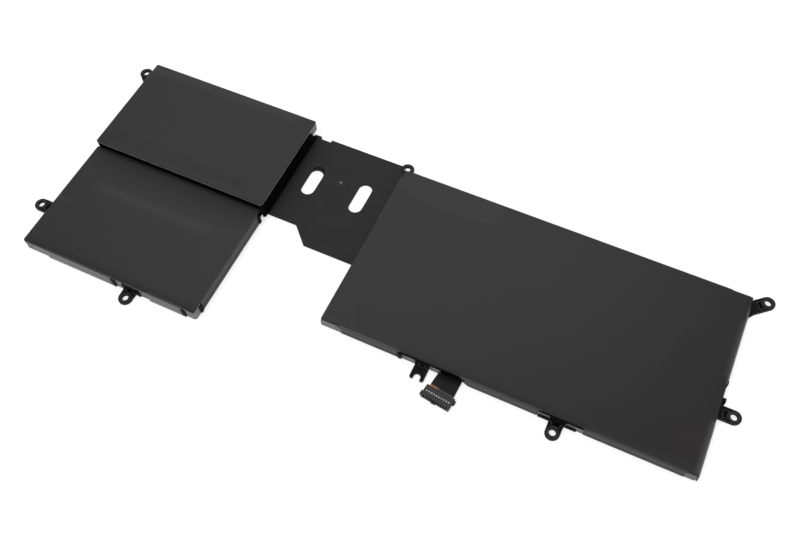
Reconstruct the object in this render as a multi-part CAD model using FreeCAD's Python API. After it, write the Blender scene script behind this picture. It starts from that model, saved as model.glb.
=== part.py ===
import FreeCAD, Part
import math
import os

# A six-cell notebook battery pack, in millimetres. The model is laid out from the left block's
# front left corner on the table, X along the length, Y to the rear and Z up. At the end it is
# moved so that its origin is the middle of its footprint.

# Left block: a low front cell, and a raised pair of cells behind a step
LEFT_LENGTH = 97.8
LEFT_DEPTH = 121.9
STEP_Y = 63.4
LEFT_FRONT_HEIGHT = 6.8
LEFT_REAR_HEIGHT = 10.6
STACK_UNDERSIDE = 4.6

# Right block: three cells side by side
BLOCK_SPACING = 53.8
RIGHT_LENGTH = 177.7
RIGHT_DEPTH = 93.7
RIGHT_SETBACK = 22.3
RIGHT_HEIGHT = 5.65

# Tolerance for finding edges, and how far a cutter runs past the piece it cuts
TINY = 1e-6
OVER = 1.0

# Wrapping film, folded down over the sides
FILM = 0.15
FILM_GAP = 0.05
FOLD = 0.5
LIP = 0.7
CORNER_RADIUS = 1.2
FLAP_FOOT = 0.3

# Moulded trays: floor, walls, windows under the cells
FLOOR = 0.6
TRAY_INSET = 1.5
TRAY_CORNER = 2.0
STRAP = 6.0
WINDOW_CORNER = 3.0
WALL = 1.1
FIT = 0.05

# Adhesive pads between the floor and the cells
PAD = 0.15
PAD_WIDTH = 3.0
PAD_INSET = 1.5

# Pouch cells
CELL_EDGE = 0.6
CELL_CORNER = 1.0
CELL_GAP = 0.4
RIBBON_GAP = 1.6
BAY_MARGIN = 1.6
TERRACE = 8.0
TERRACE_THICKNESS = 0.3
TERRACE_SIDE = 5.0
TAB_WIDTH = 5.0
TAB_THICKNESS = 0.15
TAB_REACH = 0.8
TAB_FOOT = 1.6
TAB_SHARE = 0.25
SIDE_MARGIN = 0.6
LOWER_CELL_SET_IN = 3.2
LOWER_CELL_SET_BACK = 7.3

# Bridge between the blocks, with two finger slots and a chamfered front edge
BRIDGE_HEIGHT = 1.2
BRIDGE_BEHIND = 4.2
BRIDGE_BEFORE_STEP = 6.4
BRIDGE_STEP = 9.1
BRIDGE_NECK = 17.0
BRIDGE_CHAMFER = 9.1
BRIDGE_LAP = 6.0
BRIDGE_LAP_END = 2.0
NOTCH_START = 3.5
NOTCH_LENGTH = 5.9
NOTCH_DEPTH = 1.5
SLOT_WIDTH = 7.1
SLOT_LENGTH = 18.3
SLOT_FROM_FRONT = 36.2
SLOT_X = 12.4
SLOT_PITCH = 26.9
SLOT_SHORTFALL = 1.9
PIP_X = 26.2
PIP_BEHIND_SLOT = 4.4
PIP_RADIUS = 1.5
PIP_TOP_RADIUS = 0.8
PIP_HEIGHT = 0.35
BRIDGE_CORNER = 0.5
STAKE_INSET = 3.0
STAKE_RADIUS = 1.0
STAKE_HEAD_RADIUS = 1.6
STAKE_HEAD = 0.45

# Screw ears, all of one form
EAR_HOLE_RADIUS = 1.6
EAR_RADIUS = 3.4
EAR_THICKNESS = 1.2
RIM_RADIUS = 2.5
RIM_HEIGHT = 0.35
EAR_FLARE = 0.8
EAR_ROOT = 4.0
POCKET_DEPTH = 0.5
POCKET_LENGTH = 1.8
POCKET_WIDTH = 3.6

# Ears: place along the side that each one is on, and how far its hole stands out
FRONT_LEFT_EAR_X = 60.9
FRONT_LEFT_EAR_OUT = 4.1
LEFT_EAR_Y = 23.5
LEFT_EAR_OUT = 8.4
REAR_LEFT_EAR_OUT = 8.8
REAR_LEFT_EAR_BEHIND = 5.4
REAR_MIDDLE_EAR_SHIFT = 0.3
REAR_MIDDLE_EAR_OUT = 3.4
FRONT_RIGHT_EAR_BEFORE = 3.3
FRONT_RIGHT_EAR_OUT = 5.1
RIGHT_EAR_FROM_FRONT = 34.2
RIGHT_EAR_OUT = 7.0
REAR_RIGHT_EAR_OUT = 7.2
REAR_RIGHT_EAR_BEHIND = 2.2
DIAGONAL_ANGLE = 41.0
DIAGONAL_ROOT = 15.5

# Upright hooks and walls that hold the cells' sides
HOOK_WIDTH = 1.8
HOOK_PROUD = 0.4
SIDE_HOOK_PROUD = 1.5
HOOK_TAPER = 0.3
LIGHT_WINDOW = 1.3
LIGHT_WINDOW_HEIGHT = 2.6
LIGHT_WINDOW_PITCH = 3.1
RAIL_HEIGHT = 1.8

# Forked lug beside the lead
FORK_FROM_LEAD = 14.4
FORK_WIDTH = 6.8
FORK_REACH = 7.0
FORK_SLOT = 3.3
FORK_SLOT_DEPTH = 2.9
FORK_CORNER = 0.7

# Protection board in the bay in front of the middle cell
BOARD_THICKNESS = 0.8
BOARD_LEDGE = 0.4
BOARD_MARGIN = 1.5
BOARD_END_GAP = 1.0
CHIP_CLEARANCE = 0.25
LOW_CHIP_HEIGHT = 0.45

# Parts on the board: (start along the board, length, depth)
CHIP = (14.0, 6.0, 4.0)
SWITCHES = ((25.0, 3.2, 3.2), (30.0, 3.2, 3.2))
SHUNT = (37.0, 3.2, 1.6)
FUSE = (44.0, 3.4, 2.5)
CAPACITOR = (3.0, 1.0, 0.5)
CAPACITOR_PITCH = 1.6
CAPACITORS = 6
REAR_MARGIN = 0.8

# Flat insulated ribbons that join the blocks to the board
RIBBON_WIDTH = 5.0
RIBBON_THICKNESS = 0.5
RIBBON_FROM_BAY = 3.3
STRIP_THICKNESS = 0.2

# Flat lead of ten wires in black tape
WIRES = 10
WIRE_RADIUS = 0.35
WIRE_SIDES = 12
WIRE_CLEAR = 0.06
LEAD_FROM_BOARD_END = 6.5
LEAD_PITCH = 1.06
LEAD_BURIED = 7.5
TAPE = 0.12
TAPE_END_GAP = 0.5

# Plug on the lead, turned a little against the pack's edge
PLUG_SHIFT = 1.5
PLUG_DISTANCE = 8.0
PLUG_TURN = -7.0
PLUG_WIDTH = 14.2
PLUG_DEPTH = 6.1
PLUG_HEIGHT = 2.6
PLUG_WALL = 0.6
PLUG_STEP = 0.5
PLUG_STEP_DEPTH = 1.5
CONTACT_PITCH = 1.25
CONTACT_ROW = 3.0
CONTACT_SIZE = 0.7
CONTACT_RECESS = 0.15
MOUTH_WIDTH = 0.8
MOUTH_DEPTH = 0.6
MOUTH_HEIGHT = 1.1
KEY_WIDTH = 2.2
KEY_PROUD = 0.6
KEY_X = -0.5
KEY_FOOT = 0.6
KEY_TOP = 2.1
LUG_PROUD = 0.8
LUG_LENGTH = 2.0
LUG_HEIGHT = 1.8
LUG_ROOT = 1.0

# Black tapes on the raised pair of cells
BLACK_TAPE = 0.15
STEP_TAPE_LIP = 0.5
SIDE_TAPE_END = 7.2

# Hooks and the ends of the film's flaps, measured from a corner, an ear or the lead
FLAP_START = 14.0
FRONT_HOOK_BEFORE_EAR = 8.5
FLAP_AFTER_EAR = 11.4
HOOK_FROM_END = 6.3
HOOK_FROM_FRONT = 5.5
HOOK_FROM_STEP = 11.0
RIGHT_FLAP_FROM_CORNER = 10.8
HOOK_FROM_LEAD = 25.5
FLAP_OVER_LEAD = 5.0
LEAD_FLAP_ROOM = 1.2
FLAP_BEFORE_EAR = 8.9
FLAP_PAST_EAR = 12.1
FLAP_END_MARGIN = 5.5
CUT_BEFORE_EAR = 6.7
CUT_PAST_EAR = 12.9
REAR_CUT_MARGIN = 8.0
REAR_FLAP_MARGIN = 10.5

# Places worked out from the sizes above
RIGHT_X = LEFT_LENGTH + BLOCK_SPACING
RIGHT_END = RIGHT_X + RIGHT_LENGTH
RIGHT_REAR = RIGHT_SETBACK + RIGHT_DEPTH
SKIN = FILM + FILM_GAP
HOOK_TOP_GAP = LIP + FIT
CELL_Z = FLOOR + PAD
TERRACE_BAY = TERRACE + TAB_REACH + TAB_FOOT + BAY_MARGIN

# Left block
UPPER_CELL_Y = STEP_Y + BLACK_TAPE + FILM_GAP
CROSS_WALL_Y = STEP_Y - WALL - 2 * FILM
FRONT_CELL_REAR = CROSS_WALL_Y - TERRACE_BAY
LOWER_CELL_Y = STEP_Y + WALL
LOWER_CELL_REAR = LEFT_DEPTH - LOWER_CELL_SET_BACK
LOWER_CELL_END = LEFT_LENGTH - TERRACE_BAY - SIDE_MARGIN
LOWER_CELL_MIDDLE_Y = (LOWER_CELL_Y + LOWER_CELL_REAR) / 2

# Right block
CELL_WIDTH = (RIGHT_LENGTH - 2 * SKIN - RIBBON_GAP - CELL_GAP) / 3
CELL_1_X = RIGHT_X + SKIN
CELL_2_X = CELL_1_X + CELL_WIDTH + RIBBON_GAP
CELL_3_X = CELL_2_X + CELL_WIDTH + CELL_GAP
CELL_FRONT = RIGHT_SETBACK + SKIN
CELL_REAR = RIGHT_REAR - SKIN

# Board, lead, plug and fork
BOARD_Z = FLOOR + BOARD_LEDGE
BOARD_TOP = BOARD_Z + BOARD_THICKNESS
TERRACE_UNDERSIDE = (CELL_Z + RIGHT_HEIGHT - SKIN - TERRACE_THICKNESS) / 2
CHIP_HEIGHT = TERRACE_UNDERSIDE - BOARD_TOP - CHIP_CLEARANCE
BOARD_X0 = CELL_1_X + CELL_WIDTH + (RIBBON_GAP + RIBBON_THICKNESS) / 2
BOARD_X1 = CELL_3_X - BOARD_END_GAP
BOARD_Y0 = CELL_FRONT + BOARD_MARGIN
BOARD_Y1 = CELL_FRONT + TERRACE_BAY - BOARD_END_GAP
LEAD_X = BOARD_X0 + LEAD_FROM_BOARD_END
LEAD_Z = BOARD_Z - WIRE_RADIUS
PLUG_X = LEAD_X - PLUG_SHIFT
PLUG_REAR_Y = RIGHT_SETBACK - PLUG_DISTANCE
FORK_X = LEAD_X - FORK_FROM_LEAD

# Bridge
BRIDGE_REAR_Y = RIGHT_REAR + BRIDGE_BEHIND
BRIDGE_FRONT_Y = STEP_Y - BRIDGE_BEFORE_STEP
SLOT_Y = BRIDGE_FRONT_Y + SLOT_FROM_FRONT
RIBBON_Y = CELL_REAR - TERRACE_BAY + RIBBON_FROM_BAY
LAP_X = LEFT_LENGTH - BRIDGE_LAP
LAP_Y = STEP_Y + STRAP / 2

# Ear hole centres
EAR_FRONT_LEFT = (FRONT_LEFT_EAR_X, -FRONT_LEFT_EAR_OUT)
EAR_LEFT = (-LEFT_EAR_OUT, LEFT_EAR_Y)
EAR_REAR_LEFT = (-REAR_LEFT_EAR_OUT, LOWER_CELL_REAR + REAR_LEFT_EAR_BEHIND)
EAR_REAR_MIDDLE = (RIGHT_X - REAR_MIDDLE_EAR_SHIFT, RIGHT_REAR + REAR_MIDDLE_EAR_OUT)
EAR_FRONT_RIGHT = (CELL_3_X - FRONT_RIGHT_EAR_BEFORE, RIGHT_SETBACK - FRONT_RIGHT_EAR_OUT)
EAR_RIGHT = (RIGHT_END + RIGHT_EAR_OUT, RIGHT_SETBACK + RIGHT_EAR_FROM_FRONT)
EAR_REAR_RIGHT = (RIGHT_END + REAR_RIGHT_EAR_OUT, RIGHT_REAR + REAR_RIGHT_EAR_BEHIND)


def box(x0, x1, y0, y1, z0, z1):
    """A block between two corners."""
    return Part.makeBox(x1 - x0, y1 - y0, z1 - z0, FreeCAD.Vector(x0, y0, z0))


def post(x, y, z0, z1, radius):
    """An upright round post."""
    return Part.makeCylinder(radius, z1 - z0, FreeCAD.Vector(x, y, z0))


def upright_edges(shape):
    """The edges of a shape that run straight up."""
    found = []
    for edge in shape.Edges:
        low, high = edge.Vertexes[0].Point, edge.Vertexes[-1].Point
        if abs(low.x - high.x) < TINY and abs(low.y - high.y) < TINY:
            found.append(edge)
    return found


def level_edges(shape, height):
    """The edges of a shape that lie at one height."""
    return [e for e in shape.Edges if all(abs(v.Point.z - height) < TINY for v in e.Vertexes)]


def soft_block(x0, x1, y0, y1, z0, z1, corner, top_edge):
    """A block with rounded upright corners and a bevelled top edge."""
    shape = plate(x0, x1, y0, y1, z0, z1, corner)
    return shape.makeChamfer(top_edge, level_edges(shape, z1))


def plate(x0, x1, y0, y1, z0, z1, corner):
    """A flat plate with rounded corners."""
    shape = box(x0, x1, y0, y1, z0, z1)
    return shape.makeFillet(corner, upright_edges(shape))


def window(x0, x1, y0, y1, z0, z1, corner):
    """The cutter for a window with cut corners."""
    shape = box(x0, x1, y0, y1, z0, z1)
    return shape.makeChamfer(corner, upright_edges(shape))


def pouch(x0, x1, y0, y1, z0, z1):
    """The body of a pouch cell, bevelled on every edge."""
    shape = window(x0, x1, y0, y1, z0, z1, CELL_CORNER)
    return shape.makeChamfer(CELL_EDGE, level_edges(shape, z0) + level_edges(shape, z1))


def outline_plate(points, z0, z1):
    """A flat plate cut to an outline of straight edges."""
    corners = [FreeCAD.Vector(x, y, z0) for x, y in points]
    face = Part.Face(Part.makePolygon(corners + corners[:1]))
    return face.extrude(FreeCAD.Vector(0, 0, z1 - z0))


def long_hole(x, y0, y1, width, z0, z1):
    """A round-ended slot along Y."""
    radius = width / 2
    middle = box(x - radius, x + radius, y0 + radius, y1 - radius, z0, z1)
    ends = [post(x, y0 + radius, z0, z1, radius), post(x, y1 - radius, z0, z1, radius)]
    return middle.fuse(ends).removeSplitter()


def join(first, *others):
    """Pieces of one moulding fused into one solid."""
    return first.fuse(list(others)).removeSplitter()


def turned(shape, x, y, angle):
    """A piece made at the origin, turned about Z and carried to its place."""
    copy = shape.copy()
    copy.rotate(FreeCAD.Vector(0, 0, 0), FreeCAD.Vector(0, 0, 1), angle)
    copy.translate(FreeCAD.Vector(x, y, 0))
    return copy


def group(solids):
    """Separate solids kept in one sub-part."""
    return Part.makeCompound(solids)


# Screw ears, lugs and hooks of the mouldings
def screw_ear(root):
    """A screw ear that points along -Y, its hole at the origin and its root reaching back."""
    body = box(-EAR_RADIUS, EAR_RADIUS, 0, root, 0, EAR_THICKNESS)
    flare = outline_plate([(-EAR_RADIUS, root - EAR_ROOT), (EAR_RADIUS, root - EAR_ROOT),
                           (EAR_RADIUS + EAR_FLARE, root), (-EAR_RADIUS - EAR_FLARE, root)],
                          0, EAR_THICKNESS)
    eye = post(0, 0, 0, EAR_THICKNESS, EAR_RADIUS)
    rim = post(0, 0, 0, EAR_THICKNESS + RIM_HEIGHT, RIM_RADIUS)
    ear = join(body, flare, eye, rim)
    pocket = box(-POCKET_WIDTH / 2, POCKET_WIDTH / 2, RIM_RADIUS + POCKET_DEPTH,
                 RIM_RADIUS + POCKET_DEPTH + POCKET_LENGTH, EAR_THICKNESS - POCKET_DEPTH,
                 EAR_THICKNESS)
    return ear.cut(pocket)


def ear_hole(place):
    """The drill for an ear's screw hole."""
    return post(place[0], place[1], -OVER, EAR_THICKNESS + RIM_HEIGHT + OVER, EAR_HOLE_RADIUS)


def forked_lug():
    """The lug with an open slot that points along -Y, its root at the origin."""
    body = box(-FORK_WIDTH / 2, FORK_WIDTH / 2, -FORK_REACH, TRAY_INSET + WALL, 0, EAR_THICKNESS)
    tips = [e for e in upright_edges(body) if e.Vertexes[0].Point.y < 0]
    body = body.makeFillet(FORK_CORNER, tips)
    slot = long_hole(0, -FORK_REACH - FORK_SLOT, -FORK_REACH + FORK_SLOT_DEPTH, FORK_SLOT,
                     -OVER, EAR_THICKNESS + OVER)
    return body.cut(slot)


def hook(width, height, reach, proud=HOOK_PROUD):
    """An upright hook on a block's front side, with the tongue that carries it, centred at X 0."""
    outer = -proud
    inner = FILM
    tongue = box(-width / 2, width / 2, outer, reach, 0, FLOOR)
    profile = [FreeCAD.Vector(-width / 2, outer, 0),
               FreeCAD.Vector(-width / 2, inner, 0),
               FreeCAD.Vector(-width / 2, inner, height),
               FreeCAD.Vector(-width / 2, outer + HOOK_TAPER, height),
               FreeCAD.Vector(-width / 2, outer, height - 2 * HOOK_TAPER)]
    face = Part.Face(Part.makePolygon(profile + profile[:1]))
    return join(tongue, face.extrude(FreeCAD.Vector(width, 0, 0)))


def ear_wall(width, height, windows):
    """The upright wall behind an ear, with small light windows in a row near its foot."""
    wall = hook(width, height, TRAY_INSET + WALL)
    first = -(windows - 1) * LIGHT_WINDOW_PITCH / 2
    for index in range(windows):
        middle = first + index * LIGHT_WINDOW_PITCH
        wall = wall.cut(box(middle - LIGHT_WINDOW / 2, middle + LIGHT_WINDOW / 2,
                            -HOOK_PROUD - OVER, FILM + OVER, EAR_THICKNESS + FIT,
                            EAR_THICKNESS + LIGHT_WINDOW_HEIGHT))
    return wall


# The left block's moulded tray
def stake_places():
    """Centres of the heat stakes that hold the bridge's lap."""
    x = LEFT_LENGTH - TRAY_INSET - STAKE_HEAD_RADIUS - FIT
    return [(x, LAP_Y + STAKE_INSET), (x, LOWER_CELL_MIDDLE_Y)]


def front_hook_x():
    """Middle of the hook to the left of the left block's front ear."""
    return EAR_FRONT_LEFT[0] - FRONT_HOOK_BEFORE_EAR


def left_tray():
    """Floor with windows, walls round the lower cell, cross wall, hooks and three screw ears."""
    edge = TRAY_INSET
    inner = edge + WALL
    rear = LOWER_CELL_REAR + FIT
    front_height = LEFT_FRONT_HEIGHT - FILM - FILM_GAP
    floor = plate(edge, LEFT_LENGTH - edge, edge, rear + WALL, 0, FLOOR, TRAY_CORNER)
    front_window = window(edge + STRAP, LEFT_LENGTH - edge - STRAP, edge + STRAP,
                          FRONT_CELL_REAR - STRAP, -OVER, FLOOR + OVER, WINDOW_CORNER)
    rear_window = window(edge + STRAP, LOWER_CELL_END - STRAP, LOWER_CELL_Y + STRAP,
                         LOWER_CELL_REAR - STRAP, -OVER, FLOOR + OVER, WINDOW_CORNER)
    floor = floor.cut([front_window, rear_window])
    pieces = [box(edge, inner, CROSS_WALL_Y, rear, 0, STACK_UNDERSIDE),
              box(edge, LAP_X - 2 * STRAP, rear, rear + WALL, 0, STACK_UNDERSIDE),
              box(edge, LAP_X - FIT, CROSS_WALL_Y, CROSS_WALL_Y + WALL, 0, front_height)]
    for x, y in stake_places():
        pieces.append(post(x, y, 0, BRIDGE_HEIGHT + STAKE_HEAD, STAKE_RADIUS))
        pieces.append(post(x, y, BRIDGE_HEIGHT, BRIDGE_HEIGHT + STAKE_HEAD, STAKE_HEAD_RADIUS))
    narrow = hook(HOOK_WIDTH, LEFT_FRONT_HEIGHT - HOOK_TOP_GAP, inner)
    wide = ear_wall(2 * EAR_RADIUS, LEFT_FRONT_HEIGHT - HOOK_TOP_GAP, 2)
    clip_x = EAR_FRONT_LEFT[0] + EAR_RADIUS + HOOK_WIDTH
    for x in (front_hook_x(), clip_x, LEFT_LENGTH - HOOK_FROM_END):
        pieces.append(turned(narrow, x, 0, 0))
    for y in (HOOK_FROM_FRONT, CROSS_WALL_Y - HOOK_WIDTH):
        pieces.append(turned(narrow, LEFT_LENGTH, y, 90))
    for y in (HOOK_FROM_FRONT, STEP_Y - HOOK_FROM_STEP):
        pieces.append(turned(narrow, 0, y, -90))
    pieces.append(turned(wide, EAR_FRONT_LEFT[0], 0, 0))
    pieces.append(turned(wide, 0, EAR_LEFT[1], -90))
    ears = [turned(screw_ear(inner - EAR_FRONT_LEFT[1]), *EAR_FRONT_LEFT, 0),
            turned(screw_ear(inner - EAR_LEFT[0]), *EAR_LEFT, -90),
            turned(screw_ear(DIAGONAL_ROOT), *EAR_REAR_LEFT, 270 - DIAGONAL_ANGLE)]
    front_space = box(FILM, LEFT_LENGTH - FILM, FILM, CROSS_WALL_Y, FLOOR, LEFT_REAR_HEIGHT)
    rear_space = box(edge, LEFT_LENGTH, CROSS_WALL_Y, LEFT_DEPTH, FLOOR, LEFT_REAR_HEIGHT)
    pieces += [ear.cut([front_space, rear_space]) for ear in ears]
    tray = join(floor, *pieces)
    return tray.cut([ear_hole(place) for place in (EAR_FRONT_LEFT, EAR_LEFT, EAR_REAR_LEFT)])


# The main tray: right block's floor and the bridge, one moulding
def bridge_outline(start, end):
    """The bridge seen from above: rear notch, and a chamfered step in its front edge."""
    neck_y = BRIDGE_FRONT_Y + BRIDGE_STEP
    notch_x = LEFT_LENGTH + NOTCH_START
    notch_y = BRIDGE_REAR_Y - NOTCH_DEPTH
    return [(start, neck_y), (LEFT_LENGTH + BRIDGE_NECK, neck_y),
            (LEFT_LENGTH + BRIDGE_NECK + BRIDGE_CHAMFER, BRIDGE_FRONT_Y), (end, BRIDGE_FRONT_Y),
            (end, RIGHT_REAR - LIP), (RIGHT_X - WALL, RIGHT_REAR - LIP),
            (RIGHT_X - WALL, BRIDGE_REAR_Y), (notch_x + NOTCH_LENGTH, BRIDGE_REAR_Y),
            (notch_x + NOTCH_LENGTH, notch_y), (notch_x, notch_y), (notch_x, BRIDGE_REAR_Y),
            (start, BRIDGE_REAR_Y)]


def slot_places():
    """Middles of the two slots through the bridge, along X."""
    return [LEFT_LENGTH + SLOT_X, LEFT_LENGTH + SLOT_X + SLOT_PITCH]


def bridge():
    """The bridge plate, lapped over the left tray and cut for the ribbon and the slots."""
    half = SLOT_LENGTH / 2
    top = BRIDGE_HEIGHT + OVER
    shape = outline_plate(bridge_outline(LEFT_LENGTH + FIT, RIGHT_X), 0, BRIDGE_HEIGHT)
    lap = box(LAP_X, LEFT_LENGTH + WALL, LAP_Y, LOWER_CELL_REAR - BRIDGE_LAP_END,
              FLOOR, BRIDGE_HEIGHT)
    shape = join(shape, lap)
    free = [e for e in upright_edges(shape)
            if LEFT_LENGTH + 2 * WALL < e.Vertexes[0].Point.x < RIGHT_X - 2 * WALL]
    shape = shape.makeFillet(BRIDGE_CORNER, free)
    channel = box(LAP_X - OVER, RIGHT_X + OVER, RIBBON_Y - RIBBON_WIDTH / 2 - FIT,
                  RIBBON_Y + RIBBON_WIDTH / 2 + FIT, FLOOR, top)
    first, second = slot_places()
    cuts = [channel, long_hole(first, SLOT_Y - half, SLOT_Y + half - SLOT_SHORTFALL, SLOT_WIDTH,
                               -OVER, top),
            long_hole(second, SLOT_Y - half, SLOT_Y + half, SLOT_WIDTH, -OVER, top)]
    cuts += [post(x, y, -OVER, top, STAKE_RADIUS + FIT) for x, y in stake_places()]
    return shape.cut(cuts)


def right_floor():
    """The right block's floor with a window under each cell and a notch for the lead."""
    edge = TRAY_INSET
    floor = plate(RIGHT_X + edge, RIGHT_END - edge, RIGHT_SETBACK + edge, RIGHT_REAR - edge,
                  0, FLOOR, TRAY_CORNER)
    cuts = []
    for x, bay in ((CELL_1_X, 0), (CELL_2_X, TERRACE_BAY), (CELL_3_X, 0)):
        front = CELL_FRONT + bay + edge + STRAP
        rear = CELL_REAR - (TERRACE_BAY - bay) - edge - STRAP
        cuts.append(window(x + edge + STRAP, x + CELL_WIDTH - edge - STRAP, front, rear,
                           -OVER, FLOOR + OVER, WINDOW_CORNER))
    half = lead_half_width(LEAD_PITCH) + WALL
    cuts.append(box(LEAD_X - half, LEAD_X + half, RIGHT_SETBACK, BOARD_Y1, -OVER,
                    FLOOR + OVER))
    return floor.cut(cuts)


def main_tray():
    """Bridge, right floor, board ledge, front rail, hooks, forked lug and four screw ears."""
    inner = TRAY_INSET + WALL
    height = RIGHT_HEIGHT - HOOK_TOP_GAP
    front = RIGHT_SETBACK
    tie = box(RIGHT_X - WALL, RIGHT_X + inner, BRIDGE_FRONT_Y, RIGHT_REAR - inner, 0, FLOOR)
    ledge_x = LEAD_X + lead_half_width(LEAD_PITCH) + 2 * WALL
    ledge = box(ledge_x, BOARD_X1, BOARD_Y1 - STRAP, BOARD_Y1, 0, BOARD_Z)
    rail_half = (FLAP_BEFORE_EAR + FLAP_PAST_EAR) / 2 - HOOK_WIDTH
    rail_front = front - HOOK_PROUD
    rail_points = [(EAR_FRONT_RIGHT[0] - rail_half, rail_front),
                   (EAR_FRONT_RIGHT[0] + rail_half, rail_front),
                   (EAR_FRONT_RIGHT[0] + rail_half + HOOK_PROUD, front + FILM),
                   (EAR_FRONT_RIGHT[0] - rail_half, front + FILM)]
    rail = outline_plate(rail_points, 0, RAIL_HEIGHT)
    pieces = [tie, right_floor(), ledge, rail]
    narrow = hook(HOOK_WIDTH, height, inner)
    wide = ear_wall(2 * EAR_RADIUS, height, 1)
    fork_wall = ear_wall(FORK_WIDTH, height, 2)
    pieces.append(turned(narrow, LEAD_X - HOOK_FROM_LEAD, front, 0))
    pieces.append(turned(fork_wall, FORK_X, front, 0))
    pieces.append(turned(wide, EAR_FRONT_RIGHT[0], front, 0))
    pieces.append(turned(ear_wall(2 * EAR_RADIUS, height, 1), RIGHT_END, EAR_RIGHT[1], 90))
    proud_hook = hook(HOOK_WIDTH, height, inner, SIDE_HOOK_PROUD)
    pieces.append(turned(proud_hook, RIGHT_END, EAR_RIGHT[1] + EAR_RADIUS + HOOK_WIDTH / 2, 90))
    pieces.append(turned(narrow, RIGHT_END, EAR_RIGHT[1] + CUT_PAST_EAR, 90))
    ears = [turned(screw_ear(inner + front - EAR_FRONT_RIGHT[1]), *EAR_FRONT_RIGHT, 0),
            turned(screw_ear(inner + EAR_RIGHT[0] - RIGHT_END), *EAR_RIGHT, 90),
            turned(screw_ear(DIAGONAL_ROOT - STRAP / 2), *EAR_REAR_RIGHT, 90 + DIAGONAL_ANGLE),
            turned(screw_ear(EAR_REAR_MIDDLE[1] - RIGHT_REAR + inner), *EAR_REAR_MIDDLE, 180),
            turned(forked_lug(), FORK_X, front, 0)]
    space = box(RIGHT_X + FILM, RIGHT_END - FILM, front + FILM, RIGHT_REAR - FILM, FLOOR,
                RIGHT_HEIGHT)
    pieces += [ear.cut(space) for ear in ears]
    tray = join(bridge(), *pieces)
    places = (EAR_REAR_MIDDLE, EAR_FRONT_RIGHT, EAR_RIGHT, EAR_REAR_RIGHT)
    return tray.cut([ear_hole(place) for place in places])


# Pouch cells: (x from, x to, y from, y to, z from, z to, terrace direction, terrace width)
def terrace_root(x0, x1, y0, y1, z0, z1, direction):
    """Where a cell's terrace leaves its body, at half the cell's height."""
    middle = {0: ((x0 + x1) / 2, y1), 180: ((x0 + x1) / 2, y0), -90: (x1, (y0 + y1) / 2)}
    x, y = middle[direction]
    return x, y, (z0 + z1) / 2


def pouch_cell(cell):
    """One sealed pouch: a soft-edged body with its flat terrace on one side."""
    body = pouch(*cell[:6])
    x, y, z = terrace_root(*cell[:7])
    flat = box(-cell[7] / 2, cell[7] / 2, -CELL_CORNER, TERRACE, z - TERRACE_THICKNESS / 2,
               z + TERRACE_THICKNESS / 2)
    return join(body, turned(flat, x, y, cell[6]))


def front_cell():
    """The left block's low front cell, its terrace toward the step."""
    return (SKIN, LEFT_LENGTH - SKIN, SKIN, FRONT_CELL_REAR, CELL_Z,
            LEFT_FRONT_HEIGHT - SKIN, 0, LEFT_LENGTH - 4 * TERRACE_SIDE)


def lower_cell():
    """The lower of the stacked cells, its terrace toward the bridge."""
    return (LOWER_CELL_SET_IN, LOWER_CELL_END, LOWER_CELL_Y,
            LOWER_CELL_REAR, CELL_Z, STACK_UNDERSIDE - PAD, -90,
            LOWER_CELL_REAR - LOWER_CELL_Y - 2 * TERRACE_SIDE)


def right_cell(x, bay, direction):
    """One of the three right cells, set behind a terrace bay or in front of it."""
    return (x, x + CELL_WIDTH, CELL_FRONT + bay, CELL_REAR - TERRACE_BAY + bay, CELL_Z,
            RIGHT_HEIGHT - SKIN, direction, CELL_WIDTH - 2 * TERRACE_SIDE)


def upper_cell():
    """The raised cell, which fills its wrapping from side to side."""
    return pouch(SKIN, LEFT_LENGTH - SKIN, UPPER_CELL_Y, LEFT_DEPTH - SKIN, STACK_UNDERSIDE,
                 LEFT_REAR_HEIGHT - SKIN)


def cell_tab(drop):
    """A flat tab that leaves a terrace along +Y at Z 0, turns down and ends in a foot."""
    half = TAB_WIDTH / 2
    out = box(-half, half, 0, TAB_REACH, -TAB_THICKNESS / 2, TAB_THICKNESS / 2)
    leg = box(-half, half, TAB_REACH - TAB_THICKNESS, TAB_REACH, -drop, TAB_THICKNESS / 2)
    foot = box(-half, half, TAB_REACH - TAB_THICKNESS, TAB_REACH + TAB_FOOT, -drop,
               TAB_THICKNESS - drop)
    return join(out, leg, foot)


def cell_tabs(cell, landing):
    """Two tabs from the end of a cell's terrace, down to the height that they land on."""
    x, y, z = terrace_root(*cell[:7])
    tabs = []
    for side in (-1, 1):
        tab = cell_tab(z - landing)
        tab.translate(FreeCAD.Vector(side * cell[7] * TAB_SHARE, TERRACE, z))
        tabs.append(turned(tab, x, y, cell[6]))
    return tabs


def upper_tabs():
    """The raised cell's two tabs, folded down its right side."""
    x0 = LEFT_LENGTH - SKIN
    tabs = []
    for y in (LOWER_CELL_MIDDLE_Y - 2 * STRAP, LOWER_CELL_MIDDLE_Y + 2 * STRAP):
        tabs.append(box(x0, x0 + TAB_THICKNESS, y - TAB_WIDTH / 2, y + TAB_WIDTH / 2,
                        BRIDGE_HEIGHT + STAKE_HEAD, (STACK_UNDERSIDE + LEFT_REAR_HEIGHT) / 2))
    return group(tabs)


# Pads, strips, ribbons, terrace tapes and foam
def floor_pads(cell):
    """Thin adhesive strips along both long sides of a cell, on the tray floor."""
    x0, x1, y0, y1 = cell[:4]
    inset = TRAY_INSET + PAD_INSET
    return [box(x, x + PAD_WIDTH, y0 + STRAP, y1 - STRAP, FLOOR, CELL_Z)
            for x in (x0 + inset, x1 - inset - PAD_WIDTH)]


def stack_pad():
    """The adhesive sheet between the two stacked cells."""
    return box(LOWER_CELL_SET_IN + STRAP / 2, LOWER_CELL_END - STRAP / 2, LOWER_CELL_Y + STRAP / 2,
               LOWER_CELL_REAR - STRAP / 2, STACK_UNDERSIDE - PAD, STACK_UNDERSIDE)


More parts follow.
